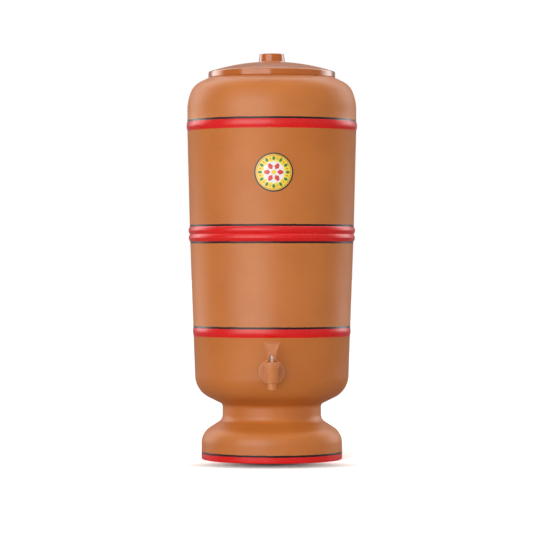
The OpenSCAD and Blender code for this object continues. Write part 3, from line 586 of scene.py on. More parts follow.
# %% Lower chamber
WALL, FLOOR_T = 9.0, 12.0
FOOT_R, PARTING_R, PARTING_Z = 92.8, 108, 296.4
LOWER = [[FOOT_R, 0, 2], [FOOT_R, 34.8, 24], [65, 52.8, 11], [65, 72.8, 6], [100.6, 90.2, 33]]
LOWER += [[PARTING_R, PARTING_Z, 0]]
TAP_BEAD, TAP_BEAD_PROUD = (163.3, 173.4), 0.7
PARTING_BEAD, PARTING_BEAD_PROUD = (286.6, 306.2), 1.8
BEAD_STEPS = 18
ON_SKIN = 0.01


def leaning(low, high, z):
    """A wall's radius at a height: straight between two corners, upright above them."""
    return low[0] + (high[0] - low[0]) * min((z - low[1]) / (high[1] - low[1]), 1)


def bead(wall, low_z, high_z, proud):
    """Corners of a raised ring between two heights of a wall."""
    low_r, high_r = (leaning(*wall, z) for z in (low_z, high_z))
    return [[low_r + (high_r - low_r) * t + 4 * t * (1 - t) * proud,
             low_z + (high_z - low_z) * t, 0] for t in shares(BEAD_STEPS)]


def skin_of(corners):
    """A mark: 1 on the points that round these corners, 0 on the others."""
    skin = rounded(corners, closed=False)
    return lambda p: float(min((Vector(p[:2]) - q).length for q in skin) < ON_SKIN)


lower_in = inset(LOWER, WALL)
bowl_floor = lower_in[3][1]
foot_roof = bowl_floor - FLOOR_T
outer = LOWER[:5] + bead(LOWER[4:], *TAP_BEAD, TAP_BEAD_PROUD)
outer += bead(LOWER[4:], PARTING_BEAD[0], PARTING_Z, PARTING_BEAD_PROUD)
outline = outer + [[PARTING_R - WALL, PARTING_Z, 2], lower_in[4], [lower_in[3][0], bowl_floor, 20]]
outline += [[0, bowl_floor, 0], [0, foot_roof, 0], [lower_in[2][0], foot_roof, 6]]
outline += [lower_in[2], lower_in[1], [FOOT_R - WALL, 0, 2]]
marks = {"outside": skin_of([[FOOT_R - WALL / 2, 0, 0]] + outer)}
lower_mesh = turned_mesh("lower_clay", rounded(outline), FIRED_CLAY, 256, marks)
print("lower chamber floor at", round(bowl_floor, 2), "mm")

# %% [markdown]
# The tap's shank passes through a round hole in the wall. A Boolean cuts it from the turned form.

# %% Tap hole
TAP_Y, TAP_Z, TAP_HOLE_R = -129.334, 119.0, 7.6
HOLE_FROM, HOLE_TO = -0.07, -0.13


def bored(mesh, name, radius_mm, start, end):
    """The mesh with a round hole from start to end, in metres."""
    start, end, radius = Vector(start), Vector(end), radius_mm * MM
    way = end - start
    bm = bmesh.new()
    bmesh.ops.create_cone(
        bm, cap_ends=True, segments=64, radius1=radius, radius2=radius, depth=way.length)
    turn = way.to_track_quat("Z", "Y").to_matrix().to_4x4()
    bmesh.ops.transform(bm, matrix=Matrix.Translation((start + end) / 2) @ turn, verts=bm.verts)
    drill_mesh = bpy.data.meshes.new(name + "_drill")
    bm.to_mesh(drill_mesh)
    bm.free()
    drill, solid = linked(name + "_drill", drill_mesh), linked(name, mesh)
    cut = solid.modifiers.new("hole", "BOOLEAN")
    cut.operation, cut.solver, cut.object = "DIFFERENCE", "MANIFOLD", drill
    made = plain_mesh(solid, name)
    bpy.data.objects.remove(drill)
    return made


hole = [(0, y, TAP_Z * MM) for y in (HOLE_FROM, HOLE_TO)]
lower_mesh = bored(lower_mesh, "lower_clay", TAP_HOLE_R, *hole)
settle(lower_mesh, "lower_clay", "lower_reservoir", "base")

# %% [markdown]
# ## The upper chamber
# The upper chamber stands in the lower one on a short spigot, so that it can't slide off. Its wall
# leans out by a hair, turns in over a round shoulder and ends in a flat ledge for the lid.

# %% Upper chamber
LEDGE_Z = 502.0
UPPER = [[PARTING_R, PARTING_Z, 0], [111.4, 433.4, 0], [111.4, 471.8, 59], [103.4, 492.7, 25]]
UPPER += [[84.4, LEDGE_Z, 2], [71, LEDGE_Z, 3]]
SHOULDER_BEAD, SHOULDER_BEAD_PROUD = (433.4, 444.7), 1.1
SPIGOT_R, SPIGOT_Z, CANDLE_HOLE_R = 97.4, 284.4, 6.6

upper_in = inset(UPPER, WALL)
outer = bead(UPPER[:2], PARTING_Z, PARTING_BEAD[1], PARTING_BEAD_PROUD)
outer += bead(UPPER[:2], *SHOULDER_BEAD, SHOULDER_BEAD_PROUD) + UPPER[2:]
outline = [[CANDLE_HOLE_R, SPIGOT_Z, 0], [SPIGOT_R, SPIGOT_Z, 2], [SPIGOT_R, PARTING_Z, 0]]
outline += outer + upper_in[:0:-1]
outline += [[PARTING_R - WALL, PARTING_Z, 12], [CANDLE_HOLE_R, PARTING_Z, 0]]
marks = {"outside": skin_of(outer + [upper_in[-1]])}
turn_piece("upper_clay", "upper_reservoir", "upper", "clay", FIRED_CLAY, 256, rounded(outline),
           marks=marks)

# %% [markdown]
# ## The lid
# The lid is one glossy plastic moulding in the colour of the clay: an upright rim, a low dome that
# is part of a sphere, and a hollow knob that draws in towards its top. A skirt inside the mouth
# keeps it centred. The studio shows in rim and knob; what breaks the mirror are a slow waviness and
# fine wiping scratches. The dome shows less gloss in the photo than they do, so its roughness and
# its coat are written by place. By how much was fitted to the photo.

# %% Lid
LID_R, LID_RIM, LID_RISE, LID_WALL = 83.6, 8.2, 13.5, 2.2
RIM_TOP_Z = LEDGE_Z + LID_RIM
RIM_FOOT_FILLET, RIM_TOP_FILLET = 1.05, 3.4
KNOB_R, KNOB_TOP_R, KNOB_H = 17.2, 16.1, 10.5
SKIRT_R, SKIRT_H = 69.4, 10.7
DOME_R = (LID_R**2 + LID_RISE**2) / (2 * LID_RISE)
LID_DULL, DULL_FADE, DULL_FROM_KNOB = 0.20, 0.8, 2
LID_TONES, LID_DUST = ((0.490, 0.122, 0.011), (0.530, 0.138, 0.015)), (0.60, 0.30, 0.16)


def lid_finish():
    f = Finish("glossy_moulded_plastic")
    flow = f.grain(30, 2.0)
    dust = f.grain(0.6, 3.0, 0.6)
    wiped = f.grain(14, 4.0, 0.65, stretch=(1, 6, 1))
    colour = f.mix(flow.smooth(*NOISE_RANGE), *LID_TONES)
    colour = f.mix(dust.smooth(0.66, 0.74) * 0.2, colour, LID_DUST)
    across, along, height = f.axes(f.place)
    radius = (across * across + along * along).math("SQRT")
    above = height.smooth((RIM_TOP_Z - DULL_FADE) * MM, (RIM_TOP_Z + DULL_FADE) * MM)
    on_dome = above * radius.smooth(KNOB_R * MM, (KNOB_R + DULL_FROM_KNOB) * MM)
    roughness = 0.10 + wiped.smooth(0.45, 0.75) * 0.10 + dust.smooth(0.6, 0.75) * 0.06
    roughness = roughness + on_dome * LID_DULL
    bump = f.relief(flow + dust * 0.02 + wiped * 0.03, 0.12, 0.35)
    coat = (1 - on_dome) * 0.35
    return f.surface(colour, roughness, bump, IOR=1.54, Coat_Weight=coat, Coat_Roughness=0.05)


def dome(radius):
    return RIM_TOP_Z + LID_RISE - DOME_R + math.sqrt(DOME_R**2 - radius**2)


def dome_corners(start, end, count, drop=0.0):
    """Points of the dome from one radius to another, without the ends."""
    radii = [start + (end - start) * i / count for i in range(1, count)]
    return [[r, dome(r) - drop, 0] for r in radii]


knob_top, skirt_foot = dome(0) + KNOB_H, LEDGE_Z - SKIRT_H
rim_in, skirt_in, knob_in = LID_R - LID_WALL, SKIRT_R - LID_WALL, KNOB_TOP_R - LID_WALL
outline = [[0, knob_top - LID_WALL, 0], [knob_in, knob_top - LID_WALL, 1.4]]
outline += [[knob_in, dome(knob_in) - LID_WALL, 1.4]]
outline += dome_corners(knob_in, skirt_in, 20, LID_WALL)
outline += [[skirt_in, dome(skirt_in) - LID_WALL, 0.6], [skirt_in, skirt_foot, 0.6]]
outline += [[SKIRT_R, skirt_foot, 1.1], [SKIRT_R, dome(SKIRT_R) - LID_WALL, 0.6]]
outline += [[rim_in, RIM_TOP_Z - LID_WALL, 0.6], [rim_in, LEDGE_Z, 0.4]]
outline += [[LID_R, LEDGE_Z, RIM_FOOT_FILLET], [LID_R, RIM_TOP_Z, RIM_TOP_FILLET]]
outline += dome_corners(LID_R, KNOB_R, 28)
outline += [[KNOB_R, dome(KNOB_R), 1.4], [KNOB_TOP_R, knob_top, 1.4], [0, knob_top, 0]]
turn_piece("moulded_lid", "lid", "lid", "lid_plastic", lid_finish(), 256, rounded(outline))

# %% [markdown]
# ## The badge
# A round printed label is glued to the upper chamber. It is a thin disc bent to the wall, with a
# softly rounded edge, laid out as rings of points whose depth is found from the wall's radius. Its
# print is a plain ornament made from the angle and the distance round its middle: a dark edge, a
# yellow field with a wreath of leaves and dots, and a petalled flower in red and white.

# %% Badge print
BADGE_X, BADGE_Z, BADGE_R = 2.5, 375.0, 25.0
LEAVES, PETALS = 12, 6
YELLOW, AMBER, EYE = (0.93, 0.76, 0.012), (0.90, 0.66, 0.008), (0.93, 0.62, 0.01)
LEAF_GREEN, LINE_RED, FLOWER_RED = (0.02, 0.20, 0.035), (0.72, 0.015, 0.02), (0.74, 0.018, 0.022)
CREAM, PALE_CREAM, EDGE_DARK = (0.86, 0.84, 0.78), (0.88, 0.86, 0.80), (0.02, 0.014, 0.014)
PRINT_DOTS = (0.95, 0.90, 0.75)


def badge_finish():
    f = Finish("printed_label")
    x, _, z = f.axes(f.place)
    across, up = x / MM - BADGE_X, z / MM - BADGE_Z
    out = (across * across + up * up).math("SQRT") / BADGE_R
    angle = up.math("ARCTAN2", across)
    hair = (f.grain(0.9, 2.0) - 0.5) * 0.006
    out = out + hair

    def petals(count, middle, swing, phase=0.0):
        """1 inside a rosette whose edge swings round the middle."""
        return out < (angle * count + phase).math("COSINE") * swing + middle

    def ring(low, high):
        return (out > low) * (out < high)

    leaf_wave = (angle * LEAVES).math("COSINE")
    leaf = ring(0.60, 0.82) * (((out - 0.71).math("ABSOLUTE") * 7.5 + 0.15) < leaf_wave)
    dot = ring(0.66, 0.76) * (leaf_wave < -0.93)
    halo = petals(LEAVES, 0.56, 0.03)
    flower = petals(PETALS, 0.40, 0.11)
    inner = petals(PETALS, 0.24, 0.07, math.pi)
    colour = f.mix(out.smooth(0.2, 0.95), YELLOW, AMBER)
    for mask, ink in ((leaf, LEAF_GREEN), (dot, LINE_RED), (halo, CREAM), (flower, FLOWER_RED),
                      (inner, PALE_CREAM), (out < 0.12, EYE), (ring(0.855, 0.885), LINE_RED),
                      (out > 0.925, EDGE_DARK)):
        colour = f.mix(mask, colour, ink)
    colour = f.mix(f.grain(0.25, 1.0).smooth(0.4, 0.8) * 0.10, colour, PRINT_DOTS)
    roughness = 0.30 + f.grain(6, 3.0) * 0.14
    bump = f.relief(f.grain(2.5, 2.0), 0.03, 0.5)
    return f.surface(colour, roughness, bump, Coat_Weight=0.2, Coat_Roughness=0.15)


# %% Badge
BADGE_T, BADGE_GAP, BADGE_FILLET = 0.5, 0.05, 0.18
BADGE_STEPS, BADGE_RINGS = 160, 22
FILLET_TURNS = (0, 0.5, 1.05, math.pi / 2)


def badge_mesh(finish):
    """A disc bent to the wall: rings of points from the middle out, round the edge and back."""
    flat, side = BADGE_R - BADGE_FILLET, BADGE_T - BADGE_FILLET
    rings = [(BADGE_R * i / BADGE_RINGS, BADGE_T) for i in range(1, BADGE_RINGS)]
    rings += [(flat + BADGE_FILLET * math.sin(t), side + BADGE_FILLET * math.cos(t))
              for t in FILLET_TURNS]
    rings += [(BADGE_R, 0), (BADGE_R * 0.5, 0)]
    verts, faces = [], []

    def put(radius, turn, depth):
        x, z = BADGE_X + radius * math.cos(turn), BADGE_Z + radius * math.sin(turn)
        wall = leaning(*UPPER[:2], z) + BADGE_GAP + depth
        verts.append((x * MM, -math.sqrt(wall**2 - x**2) * MM, z * MM))

    for radius, depth in rings:
        for k in range(BADGE_STEPS):
            put(radius, math.tau * k / BADGE_STEPS, depth)
    put(0, 0, BADGE_T)
    put(0, 0, 0)
    front, back = len(verts) - 2, len(verts) - 1
    last = (len(rings) - 1) * BADGE_STEPS
    for k in range(BADGE_STEPS):
        n = (k + 1) % BADGE_STEPS
        faces += [(front, k, n), (back, last + n, last + k)]
        for i in range(len(rings) - 1):
            a, b = i * BADGE_STEPS, (i + 1) * BADGE_STEPS
            faces.append((a + k, b + k, b + n, a + n))
    mesh = bpy.data.meshes.new("printed_badge")
    mesh.from_pydata(verts, [], faces)
    mesh.polygons.foreach_set("use_smooth", [True] * len(faces))
    mesh.materials.append(finish)
    return outward(mesh)


settle(badge_mesh(badge_finish()), "printed_badge", "front_badge", "upper")

# %% [markdown]
# ## Moulded parts from the measured model
# The tap's body, the lever and a few inner fittings are crossed and branching forms, not turned
# ones. The measured model already holds their exact faces, but with knife-sharp edges that no mould
# gives. A copy is welded, rebuilt on a fine grid of cubes and smoothed, which rounds every edge and
# inner corner by a fraction of a millimetre, like a moulding that has left its tool.

# %% Moulded copies
FLAT = 1e-7


def merged_copy(node_name):
    """A welded copy of a node's mesh, with no materials."""
    mesh = nodes[node_name].data.copy()
    mesh.transform(nodes[node_name].matrix_world)
    mesh.materials.clear()
    bm = bmesh.new()
    bm.from_mesh(mesh)
    bmesh.ops.remove_doubles(bm, verts=bm.verts, dist=WELD)
    bmesh.ops.dissolve_degenerate(bm, edges=bm.edges, dist=FLAT)
    bmesh.ops.recalc_face_normals(bm, faces=bm.faces)
    bm.to_mesh(mesh)
    bm.free()
    return mesh


def moulded(node_name, name, finish, cube_mm, smooth):
    """A copy of a node rebuilt with softly rounded edges."""
    obj = linked(name, merged_copy(node_name))
    grid = obj.modifiers.new("grid", "REMESH")
    grid.mode, grid.voxel_size, grid.use_smooth_shade = "VOXEL", cube_mm * MM, True
    soft = obj.modifiers.new("soft", "SMOOTH")
    soft.factor, soft.iterations = 0.5, smooth
    mesh = plain_mesh(obj, name)
    low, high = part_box(node_name)
    for v in mesh.vertices:
        v.co = [min(max(c, a), b) for c, a, b in zip(v.co, low, high)]
    mesh.materials.append(finish)
    return outward(mesh)


def mould_piece(name, node_name, body, finish, cube_mm, smooth):
    """Settles a softly rounded copy of a node as a piece."""
    mesh = moulded(node_name, name, finish, cube_mm, smooth)
    return settle(mesh, name, node_name, body)


def crisp(node_name, finish):
    """A welded copy that keeps its edges: curved faces are shaded smooth, sharp edges stay sharp."""
    mesh = merged_copy(node_name)
    mesh.materials.append(finish)
    mesh.polygons.foreach_set("use_smooth", [True] * len(mesh.polygons))
    mesh.set_sharp_from_angle(angle=SHARP_ANGLE)
    return outward(mesh)


# %% [markdown]
# ## The tap
# Body, cap, lever and nut are one satin plastic in the clay's colour. Moulded satin has a fine
# even texture, slow flow marks and a little wear. The cap is turned, with grip flutes round it; the
# lever's grip has a shallow recess for the finger, sunk into its front between raised borders.

# %% Tap body and cap
TAP_TONES, TAP_WEAR = ((0.58, 0.182, 0.045), (0.64, 0.218, 0.062)), (0.66, 0.30, 0.15)


def tap_finish():
    f = Finish("satin_tap_plastic")
    fine = f.grain(0.22, 2.0)
    flow = f.grain(9, 3.0)
    colour = f.mix(flow.smooth(*NOISE_RANGE), *TAP_TONES)
    colour = f.mix(fine.smooth(0.62, 0.75) * 0.2, colour, TAP_WEAR)
    roughness = 0.33 + (f.grain(4, 3.0) - 0.5) * 0.2
    return f.surface(colour, roughness, f.relief(fine + flow * 0.5, 0.02, 0.6), IOR=1.48)


TAP_PLASTIC = tap_finish()
mould_piece("tap_moulding", "tap_body", "base", TAP_PLASTIC, 0.3, 4)

CAP_R, CAP_Z, CAP_H, CAP_PLATE = 10.3, 125.4, 7.4, 1.8
COLLAR_R, STEM_R, TAP_PLAY, THREAD_PLAY = 8.0, 2.0, 0.06, 0.1
GRIP_FLUTES = {"Flutes": 20, "Flute Depth": 0.45 * MM, "Flute Width": 0.42,
               "Sharp Angle": math.radians(50)}
AT_TAP = Matrix.Translation((0, TAP_Y * MM, 0))
cap_top, cap_bore, cap_thread = CAP_Z + CAP_H, STEM_R + TAP_PLAY, COLLAR_R + THREAD_PLAY
cap_outline = [[cap_bore, cap_top - CAP_PLATE, 0], [cap_thread, cap_top - CAP_PLATE, 0.3]]
cap_outline += [[cap_thread, CAP_Z, 0.15], [CAP_R, CAP_Z, 0.35], [CAP_R, CAP_Z + 1.2, 0]]
cap_outline += [[CAP_R, cap_top - 1.6, 0], [CAP_R, cap_top, 1.0], [cap_bore, cap_top, 0.3]]
cap_marks = {"flute": lambda p: float(p[0] > 9.2 and p[1] < cap_top - 0.4)}
turn_piece("screw_cap", "tap_bonnet", "base", "tap_plastic", TAP_PLASTIC, 480,
           rounded(cap_outline), marks=cap_marks, place=AT_TAP, **GRIP_FLUTES)

# %% Lever
PIN_Z, FORK_TOP, GRIP_TOP = 138.0, 143.4, 157.7
NECK_W, GRIP_W, GRIP_FOOT = 10.5, 22.0, 144.2
RECESS_DEEP, RECESS_SLOPE = 0.5, 0.5
RECESS_IN, RECESS_FROM_FORK, RECESS_FROM_TOP = 1.7, 1.6, 1.0


def ease(value):
    """0 to 1 with soft ends."""
    t = min(max(value, 0), 1)
    return t * t * (3 - 2 * t)


def sink_grip(mesh):
    """Sinks the middle of the grip's front, between its side borders."""
    front = [v.normal.y < -0.5 for v in mesh.vertices]
    for v in mesh.vertices:
        x, _, z = (c / MM for c in v.co)
        rise = (z - GRIP_FOOT) / (GRIP_TOP - GRIP_FOOT)
        half = (NECK_W + (GRIP_W - NECK_W) * min(max(rise, 0), 1)) / 2
        side = ease((half - RECESS_IN - abs(x)) / RECESS_SLOPE)
        foot = ease((z - FORK_TOP - RECESS_FROM_FORK) / RECESS_SLOPE)
        top = ease((GRIP_TOP - RECESS_FROM_TOP - z) / RECESS_SLOPE)
        if front[v.index]:
            v.co.y += RECESS_DEEP * MM * side * (foot * top)
    return mesh


lever_mesh = sink_grip(moulded("tap_lever", "finger_lever", TAP_PLASTIC, 0.15, 5))
settle(lever_mesh, "finger_lever", "tap_lever", "lever")

# %% [markdown]
# ## Inside the tap
# Lifting the lever pulls a milk-white stem up through the cap. Its round foot sits in a silicone
# cup that shuts the outlet, and a steel spring pushes it down again. The stem's tip, with its steel
# pin, is the white spot that shows in the lever's window.

# %% Plastics, rubbers and steel
def soft_white(name, colour, low, high, gloss, **fixed):
    """A moulded plastic or rubber with slow tone changes and fine texture."""
    f = Finish(name)
    tone = f.mix(f.grain(6, 3.0).smooth(*NOISE_RANGE), low, high)
    tone = f.mix(f.grain(0.5, 2.0).smooth(0.6, 0.75) * 0.15, tone, colour)
    rough = gloss + (f.grain(2.5, 3.0) - 0.5) * 0.16
    return f.surface(tone, rough, f.relief(f.grain(0.4, 2.0), 0.02, 0.5), **fixed)


def steel_finish():
    f = Finish("spring_steel")
    drawn = f.grain(0.5, 4.0, 0.6, stretch=(1, 1, 5))
    colour = f.mix(drawn.smooth(0.35, 0.7), (0.47, 0.48, 0.50), (0.64, 0.65, 0.66))
    return f.surface(colour, 0.26 + drawn * 0.16, f.relief(drawn, 0.01, 0.6), metallic=1.0)


WHITE_PLASTIC = soft_white(
    "milk_white_plastic", (0.78, 0.80, 0.74), (0.86, 0.92, 0.86), (0.90, 0.96, 0.90), 0.30)
SILICONE = soft_white(
    "silicone", (0.74, 0.68, 0.58), (0.74, 0.70, 0.62), (0.80, 0.77, 0.70), 0.42,
    Subsurface_Weight=0.15)
RUBBER = soft_white(
    "black_rubber", (0.10, 0.10, 0.10), (0.022, 0.022, 0.024), (0.042, 0.042, 0.045), 0.66)
BLUE_PLASTIC = soft_white(
    "blue_plastic", (0.10, 0.26, 0.56), (0.022, 0.13, 0.40), (0.036, 0.175, 0.49), 0.36)
STEEL = steel_finish()

# %% Stem, pin and cup
CUP_Z, CUP_LIP_Z, CUP_TOP_Z = 111.0, 130, 131.0
STEM_FOOT_Z, STEM_FOOT_R, SPRING_Z, STEM_TIP_Z = 113.4, 4.6, 114.8, 141.0
PIN_R, PIN_L = 0.9, NECK_W - 2 * TAP_PLAY
CUP_OUT_R, CUP_IN_R = 5.4, 4.8
ALONG_X = Matrix.Rotation(math.pi / 2, 4, "Y")

stem_outline = [[0, STEM_FOOT_Z, 0], [STEM_FOOT_R, STEM_FOOT_Z, 0.3], [STEM_FOOT_R, SPRING_Z, 0.3]]
stem_outline += [[STEM_R, SPRING_Z, 0.4], [STEM_R, STEM_TIP_Z, 1.6], [0, STEM_TIP_Z, 0]]
stem_mesh = turned_mesh("lift_stem", rounded(stem_outline), WHITE_PLASTIC, 96, place=AT_TAP)
hole = [(side * 4 * MM, TAP_Y * MM, PIN_Z * MM) for side in (-1, 1)]
stem_mesh = bored(stem_mesh, "lift_stem", PIN_R + TAP_PLAY, *hole)
settle(stem_mesh, "lift_stem", "tap_stem", "stem")


def pin_outline(radius, half, fillet):
    """A round pin, laid along Z round the origin."""
    return rounded([[0, -half, 0], [radius, -half, fillet], [radius, half, fillet], [0, half, 0]])


at_pin = Matrix.Translation((0, TAP_Y * MM, PIN_Z * MM)) @ ALONG_X
turn_piece("lever_pin", "tap_pin", "stem", "spring_steel", STEEL, 48,
           pin_outline(PIN_R, PIN_L / 2, 0.2), place=at_pin)

cup_outline = [[0, CUP_Z, 0], [5.2, CUP_Z, 0.5], [CUP_OUT_R, STEM_FOOT_Z, 0]]
cup_outline += [[CUP_OUT_R, CUP_LIP_Z, 0.3], [COLLAR_R, CUP_LIP_Z, 0.2], [COLLAR_R, CUP_TOP_Z, 0.2]]
cup_outline += [[CUP_IN_R, CUP_TOP_Z, 0.3], [CUP_IN_R, STEM_FOOT_Z, 0], [0, STEM_FOOT_Z, 0]]
cup = turn_piece("seat_cup", "tap_seat_cup", "base", "silicone", SILICONE, 96,
                 rounded(cup_outline), place=AT_TAP)

# %% [markdown]
# The spring is wound by a second tree, which sweeps a round wire along a spiral. Cup and spring
# both hang from the cap.

# %% Spring
WIRE_R, COIL_R, COIL_TURNS, COIL_PLAY = 0.4, 3.6, 6.0, 0.02


def coil_tree():
    """A tree that winds a round wire into a coil."""
    g, wanted = open_tree(
        "wound_wire", ("Turns", "Float", 0.0), ("Height", "Float", 0.0),
        ("Coil Radius", "Float", 0.0), ("Wire Radius", "Float", 0.0))
    way = g.node("GeometryNodeCurveSpiral", inputs={
        "Resolution": 40, "Rotations": wanted["Turns"], "Height": wanted["Height"],
        "Start Radius": wanted["Coil Radius"], "End Radius": wanted["Coil Radius"],
        "Reverse": False})
    wire = {"Resolution": 14, "Radius": wanted["Wire Radius"]}
    section = g.node("GeometryNodeCurvePrimitiveCircle", {"mode": "RADIUS"}, wire)
    swept = {"Curve": way, "Profile Curve": section, "Fill Caps": True}
    return close_tree(g, g.node("GeometryNodeCurveToMesh", inputs=swept), wanted["Finish"])


coil = linked("return_spring", bpy.data.meshes.new("return_spring"))
winding = coil.modifiers.new("winding", "NODES")
winding.node_group = coil_tree()
coil_height = CUP_TOP_Z - SPRING_Z - 2 * WIRE_R - 2 * COIL_PLAY
set_inputs(winding, {"Turns": COIL_TURNS, "Height": coil_height * MM, "Coil Radius": COIL_R * MM,
                     "Wire Radius": WIRE_R * MM, "Finish": STEEL})
coil_mesh = outward(plain_mesh(coil, "return_spring"))
coil_mesh.transform(Matrix.Translation((0, TAP_Y * MM, (SPRING_Z + WIRE_R + COIL_PLAY) * MM)))
coil = settle(coil_mesh, "return_spring", "tap_spring", "base")

for piece, length in ((coil, CUP_TOP_Z - SPRING_Z), (cup, CUP_TOP_Z - CUP_Z)):
    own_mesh(piece)

# %% [markdown]
# ## Washers and the nut behind the wall
# Two rubber rings seal the shank against the clay; each has one face cut to the round wall. Behind
# them a scalloped nut is turned tight by hand.

# %% Washers and nut
for side in ("outer", "inner"):
    ring = crisp(f"tap_{side}_washer", RUBBER)
    settle(ring, f"{side}_washer", f"tap_{side}_washer", "base")
mould_piece("hand_nut", "tap_lock_nut", "base", TAP_PLASTIC, 0.2, 5)

# %% [markdown]
# ## The candle
# The filter candle is a hollow shell of white unglazed ceramic, full of fine pores, and filled with
# crushed carbon. It is glued into a plastic cup whose threaded stem passes through the floor. The
# stem's thread is cut by the turning tree where it shows between the nut and the valve.

# %% Candle shell and filling
def ceramic_finish():
    f = Finish("porous_ceramic")
    pore = f.grain(0.5, 4.0, 0.7)
    cloud = f.grain(22, 3.0)
    colour = f.mix(cloud.smooth(*NOISE_RANGE), (0.80, 0.77, 0.69), (0.88, 0.86, 0.80))
    colour = f.mix(pore.smooth(0.6, 0.72) * 0.35, colour, (0.60, 0.55, 0.45))
    return f.surface(colour, 0.82 + (pore - 0.5) * 0.2, f.relief(pore + cloud * 0.5, 0.12, 0.6))


def carbon_finish():
    f = Finish("crushed_carbon")
    crumb_inputs = {"Vector": f.place, "Scale": 900.0}
    crumbs = f.node("ShaderNodeTexVoronoi", inputs=crumb_inputs, output="Distance")
    colour = f.mix(crumbs.smooth(0.1, 0.6), (0.008, 0.008, 0.009), (0.035, 0.034, 0.034))
    return f.surface(colour, 0.55 + crumbs * 0.3, f.relief(crumbs, 0.5, 0.9))


SHELL_Z, CANDLE_R, CANDLE_H, CANDLE_WALL, CORE_PLAY = 303.4, 27.0, 95.0, 6.0, 0.05
QUARTER_STEPS = 24


def quarter(radius, base):
    """Points of a quarter circle from its side to its top, round (0, base)."""
    turns = [math.pi / 2 * t for t in shares(QUARTER_STEPS)]
    return [(radius * math.cos(turn), base + radius * math.sin(turn)) for turn in turns]


dome_base = SHELL_Z + CANDLE_H - CANDLE_R
hollow_r = CANDLE_R - CANDLE_WALL
core_r = hollow_r - CORE_PLAY
shell = [(hollow_r, SHELL_Z), (CANDLE_R, SHELL_Z)] + quarter(CANDLE_R, dome_base)
shell += quarter(hollow_r, dome_base)[::-1]
turn_piece("candle_shell_ceramic", "candle_shell", "upper", "candle_ceramic", ceramic_finish(), 128,
           shell)
core = [(0, SHELL_Z), (core_r, SHELL_Z)] + quarter(core_r, dome_base)
turn_piece("carbon_filling", "candle_core", "upper", "carbon", carbon_finish(), 96, core)

# %% Candle cup
PLATE_Z, NUT_TOP_Z, NUT_Z, VALVE_TOP_Z = 298.4, 282.4, 274.4, 264.4
CANDLE_STEM_R, CANDLE_BORE_R, CANDLE_STEM_Z = 6.0, 2.5, 250.4
CUP_R, CUP_H = 29.3, 8.0
THREAD_STEPS, THREAD_FADE = 72, 1.2
STEM_THREAD = {"Thread Pitch": 1.75 * MM, "Thread Depth": 0.7 * MM}

cup_in, cup_top = CANDLE_R + THREAD_PLAY, SHELL_Z + CUP_H
base_outline = [[CANDLE_BORE_R, CANDLE_STEM_Z, 0.3], [CANDLE_STEM_R, CANDLE_STEM_Z, 0.5]]
base_outline += [[CANDLE_STEM_R, VALVE_TOP_Z + (NUT_Z - VALVE_TOP_Z) * t, 0]
                 for t in shares(THREAD_STEPS)]
base_outline += [[CANDLE_STEM_R, PLATE_Z, 0], [CUP_R, PLATE_Z, 2.2], [CUP_R, cup_top, 1.0]]
base_outline += [[cup_in, cup_top, 0.4], [cup_in, SHELL_Z, 0], [CANDLE_BORE_R, SHELL_Z, 0]]


def thread_share(p):
    """Full in the middle of the bare stem, fading out at both of its ends."""
    inside = ease((p[1] - VALVE_TOP_Z) / THREAD_FADE) * ease((NUT_Z - p[1]) / THREAD_FADE)
    return inside * float(abs(p[0] - CANDLE_STEM_R) < ON_SKIN)


turn_piece("candle_cup", "candle_base", "upper", "white_plastic", WHITE_PLASTIC, 128,
           rounded(base_outline), marks={"thread": thread_share}, **STEM_THREAD)

# %% [markdown]
# A rubber washer seals the candle above the floor, another lies under it, and a wing nut pulls the
# two together.

# %% Candle washers and wing nut
WASHER_T, WASHER_IN = 2, CANDLE_STEM_R + TAP_PLAY

for name, node_name, low, outer_r in (
        ("gasket_above", "candle_gasket", SPIGOT_Z + FLOOR_T, 20),
        ("washer_below", "candle_lower_washer", NUT_TOP_Z, 16)):
    high = low + WASHER_T
    corners = [[WASHER_IN, low, 0.2], [outer_r, low, 0.4], [outer_r, high, 0.4]]
    corners += [[WASHER_IN, high, 0.2]]
    turn_piece(name, node_name, "upper", "rubber", RUBBER, 96, rounded(corners))
mould_piece("wing_nut", "candle_wing_nut", "upper", WHITE_PLASTIC, 0.22, 6)

# %% [markdown]
# ## The float valve
# A blue cap screwed on the candle's stem ends in a small nozzle. Behind it hangs an arm on a steel
# pin. As the water below rises, the float lifts the arm until its rubber disc shuts the nozzle, so
# the lower chamber can't overflow. The float is two thin white cups welded at a level seam.

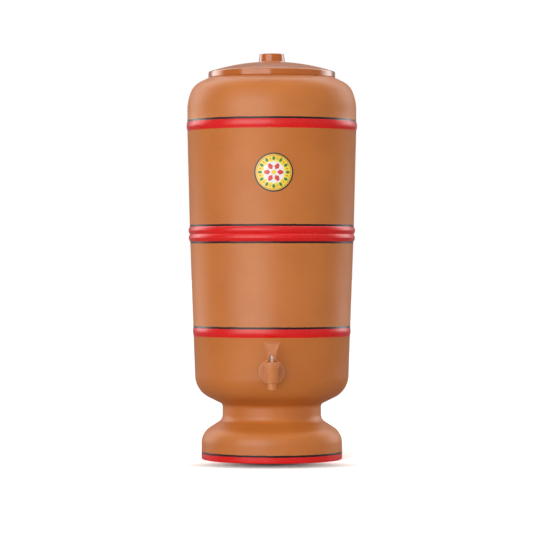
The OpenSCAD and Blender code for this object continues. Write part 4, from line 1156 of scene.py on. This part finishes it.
# %% Float valve
mould_piece("valve_cap", "float_valve_body", "upper", BLUE_PLASTIC, 0.24, 5)
mould_piece("swing_arm", "float_arm", "float", BLUE_PLASTIC, 0.22, 5)

PIVOT_Y, PIVOT_Z, PIVOT_R = -14.0, 239.6, 1.5
ARM_W, ARM_T, ARM_TOP_Z, EAR_GAP, EAR_T = 9.6, 3.0, 241.1, 0.3, 2.4
SEAL_R, SEAL_T = 3.9, 2
FLOAT_DROP = math.radians(22)
pivot = Vector((0, PIVOT_Y * MM, PIVOT_Z * MM))
at_pivot = Matrix.Translation(pivot)
HANGING = at_pivot @ Matrix.Rotation(-FLOAT_DROP, 4, "X") @ Matrix.Translation(-pivot)

turn_piece("pivot_pin", "float_pivot_pin", "upper", "spring_steel", STEEL, 64,
           pin_outline(PIVOT_R, ARM_W / 2 + EAR_GAP + EAR_T, 0.3), place=at_pivot @ ALONG_X)
seal_top = ARM_TOP_Z + SEAL_T
seal_outline = [[0, ARM_TOP_Z, 0], [SEAL_R, ARM_TOP_Z, 0.2], [SEAL_R, seal_top, 0.4]]
seal_outline += [[0, seal_top, 0]]
turn_piece("valve_disc", "float_seal", "float", "rubber", RUBBER, 64, rounded(seal_outline),
           place=HANGING)

# %% Float
FLOAT_Y, FLOAT_R, FLOAT_H, FLOAT_WALL, FLOAT_EDGE = 34.0, 16.0, 22.0, 1.4, 4.0
SEAM_FILLET = 0.15

float_top = ARM_TOP_Z - ARM_T
seam = float_top - FLOAT_H / 2
inner_r, inner_edge = FLOAT_R - FLOAT_WALL, FLOAT_EDGE - FLOAT_WALL
at_float = HANGING @ Matrix.Translation((0, FLOAT_Y * MM, 0))
for name, node_name, end, wall in (
        ("float_lower", "float_cup", float_top - FLOAT_H, FLOAT_WALL),
        ("float_upper", "float_cap", float_top, -FLOAT_WALL)):
    corners = [[0, end, 0], [FLOAT_R, end, FLOAT_EDGE], [FLOAT_R, seam, SEAM_FILLET]]
    corners += [[inner_r, seam, SEAM_FILLET], [inner_r, end + wall, inner_edge], [0, end + wall, 0]]
    turn_piece(name, node_name, "float", "white_plastic", WHITE_PLASTIC, 96, rounded(corners),
               place=at_float)
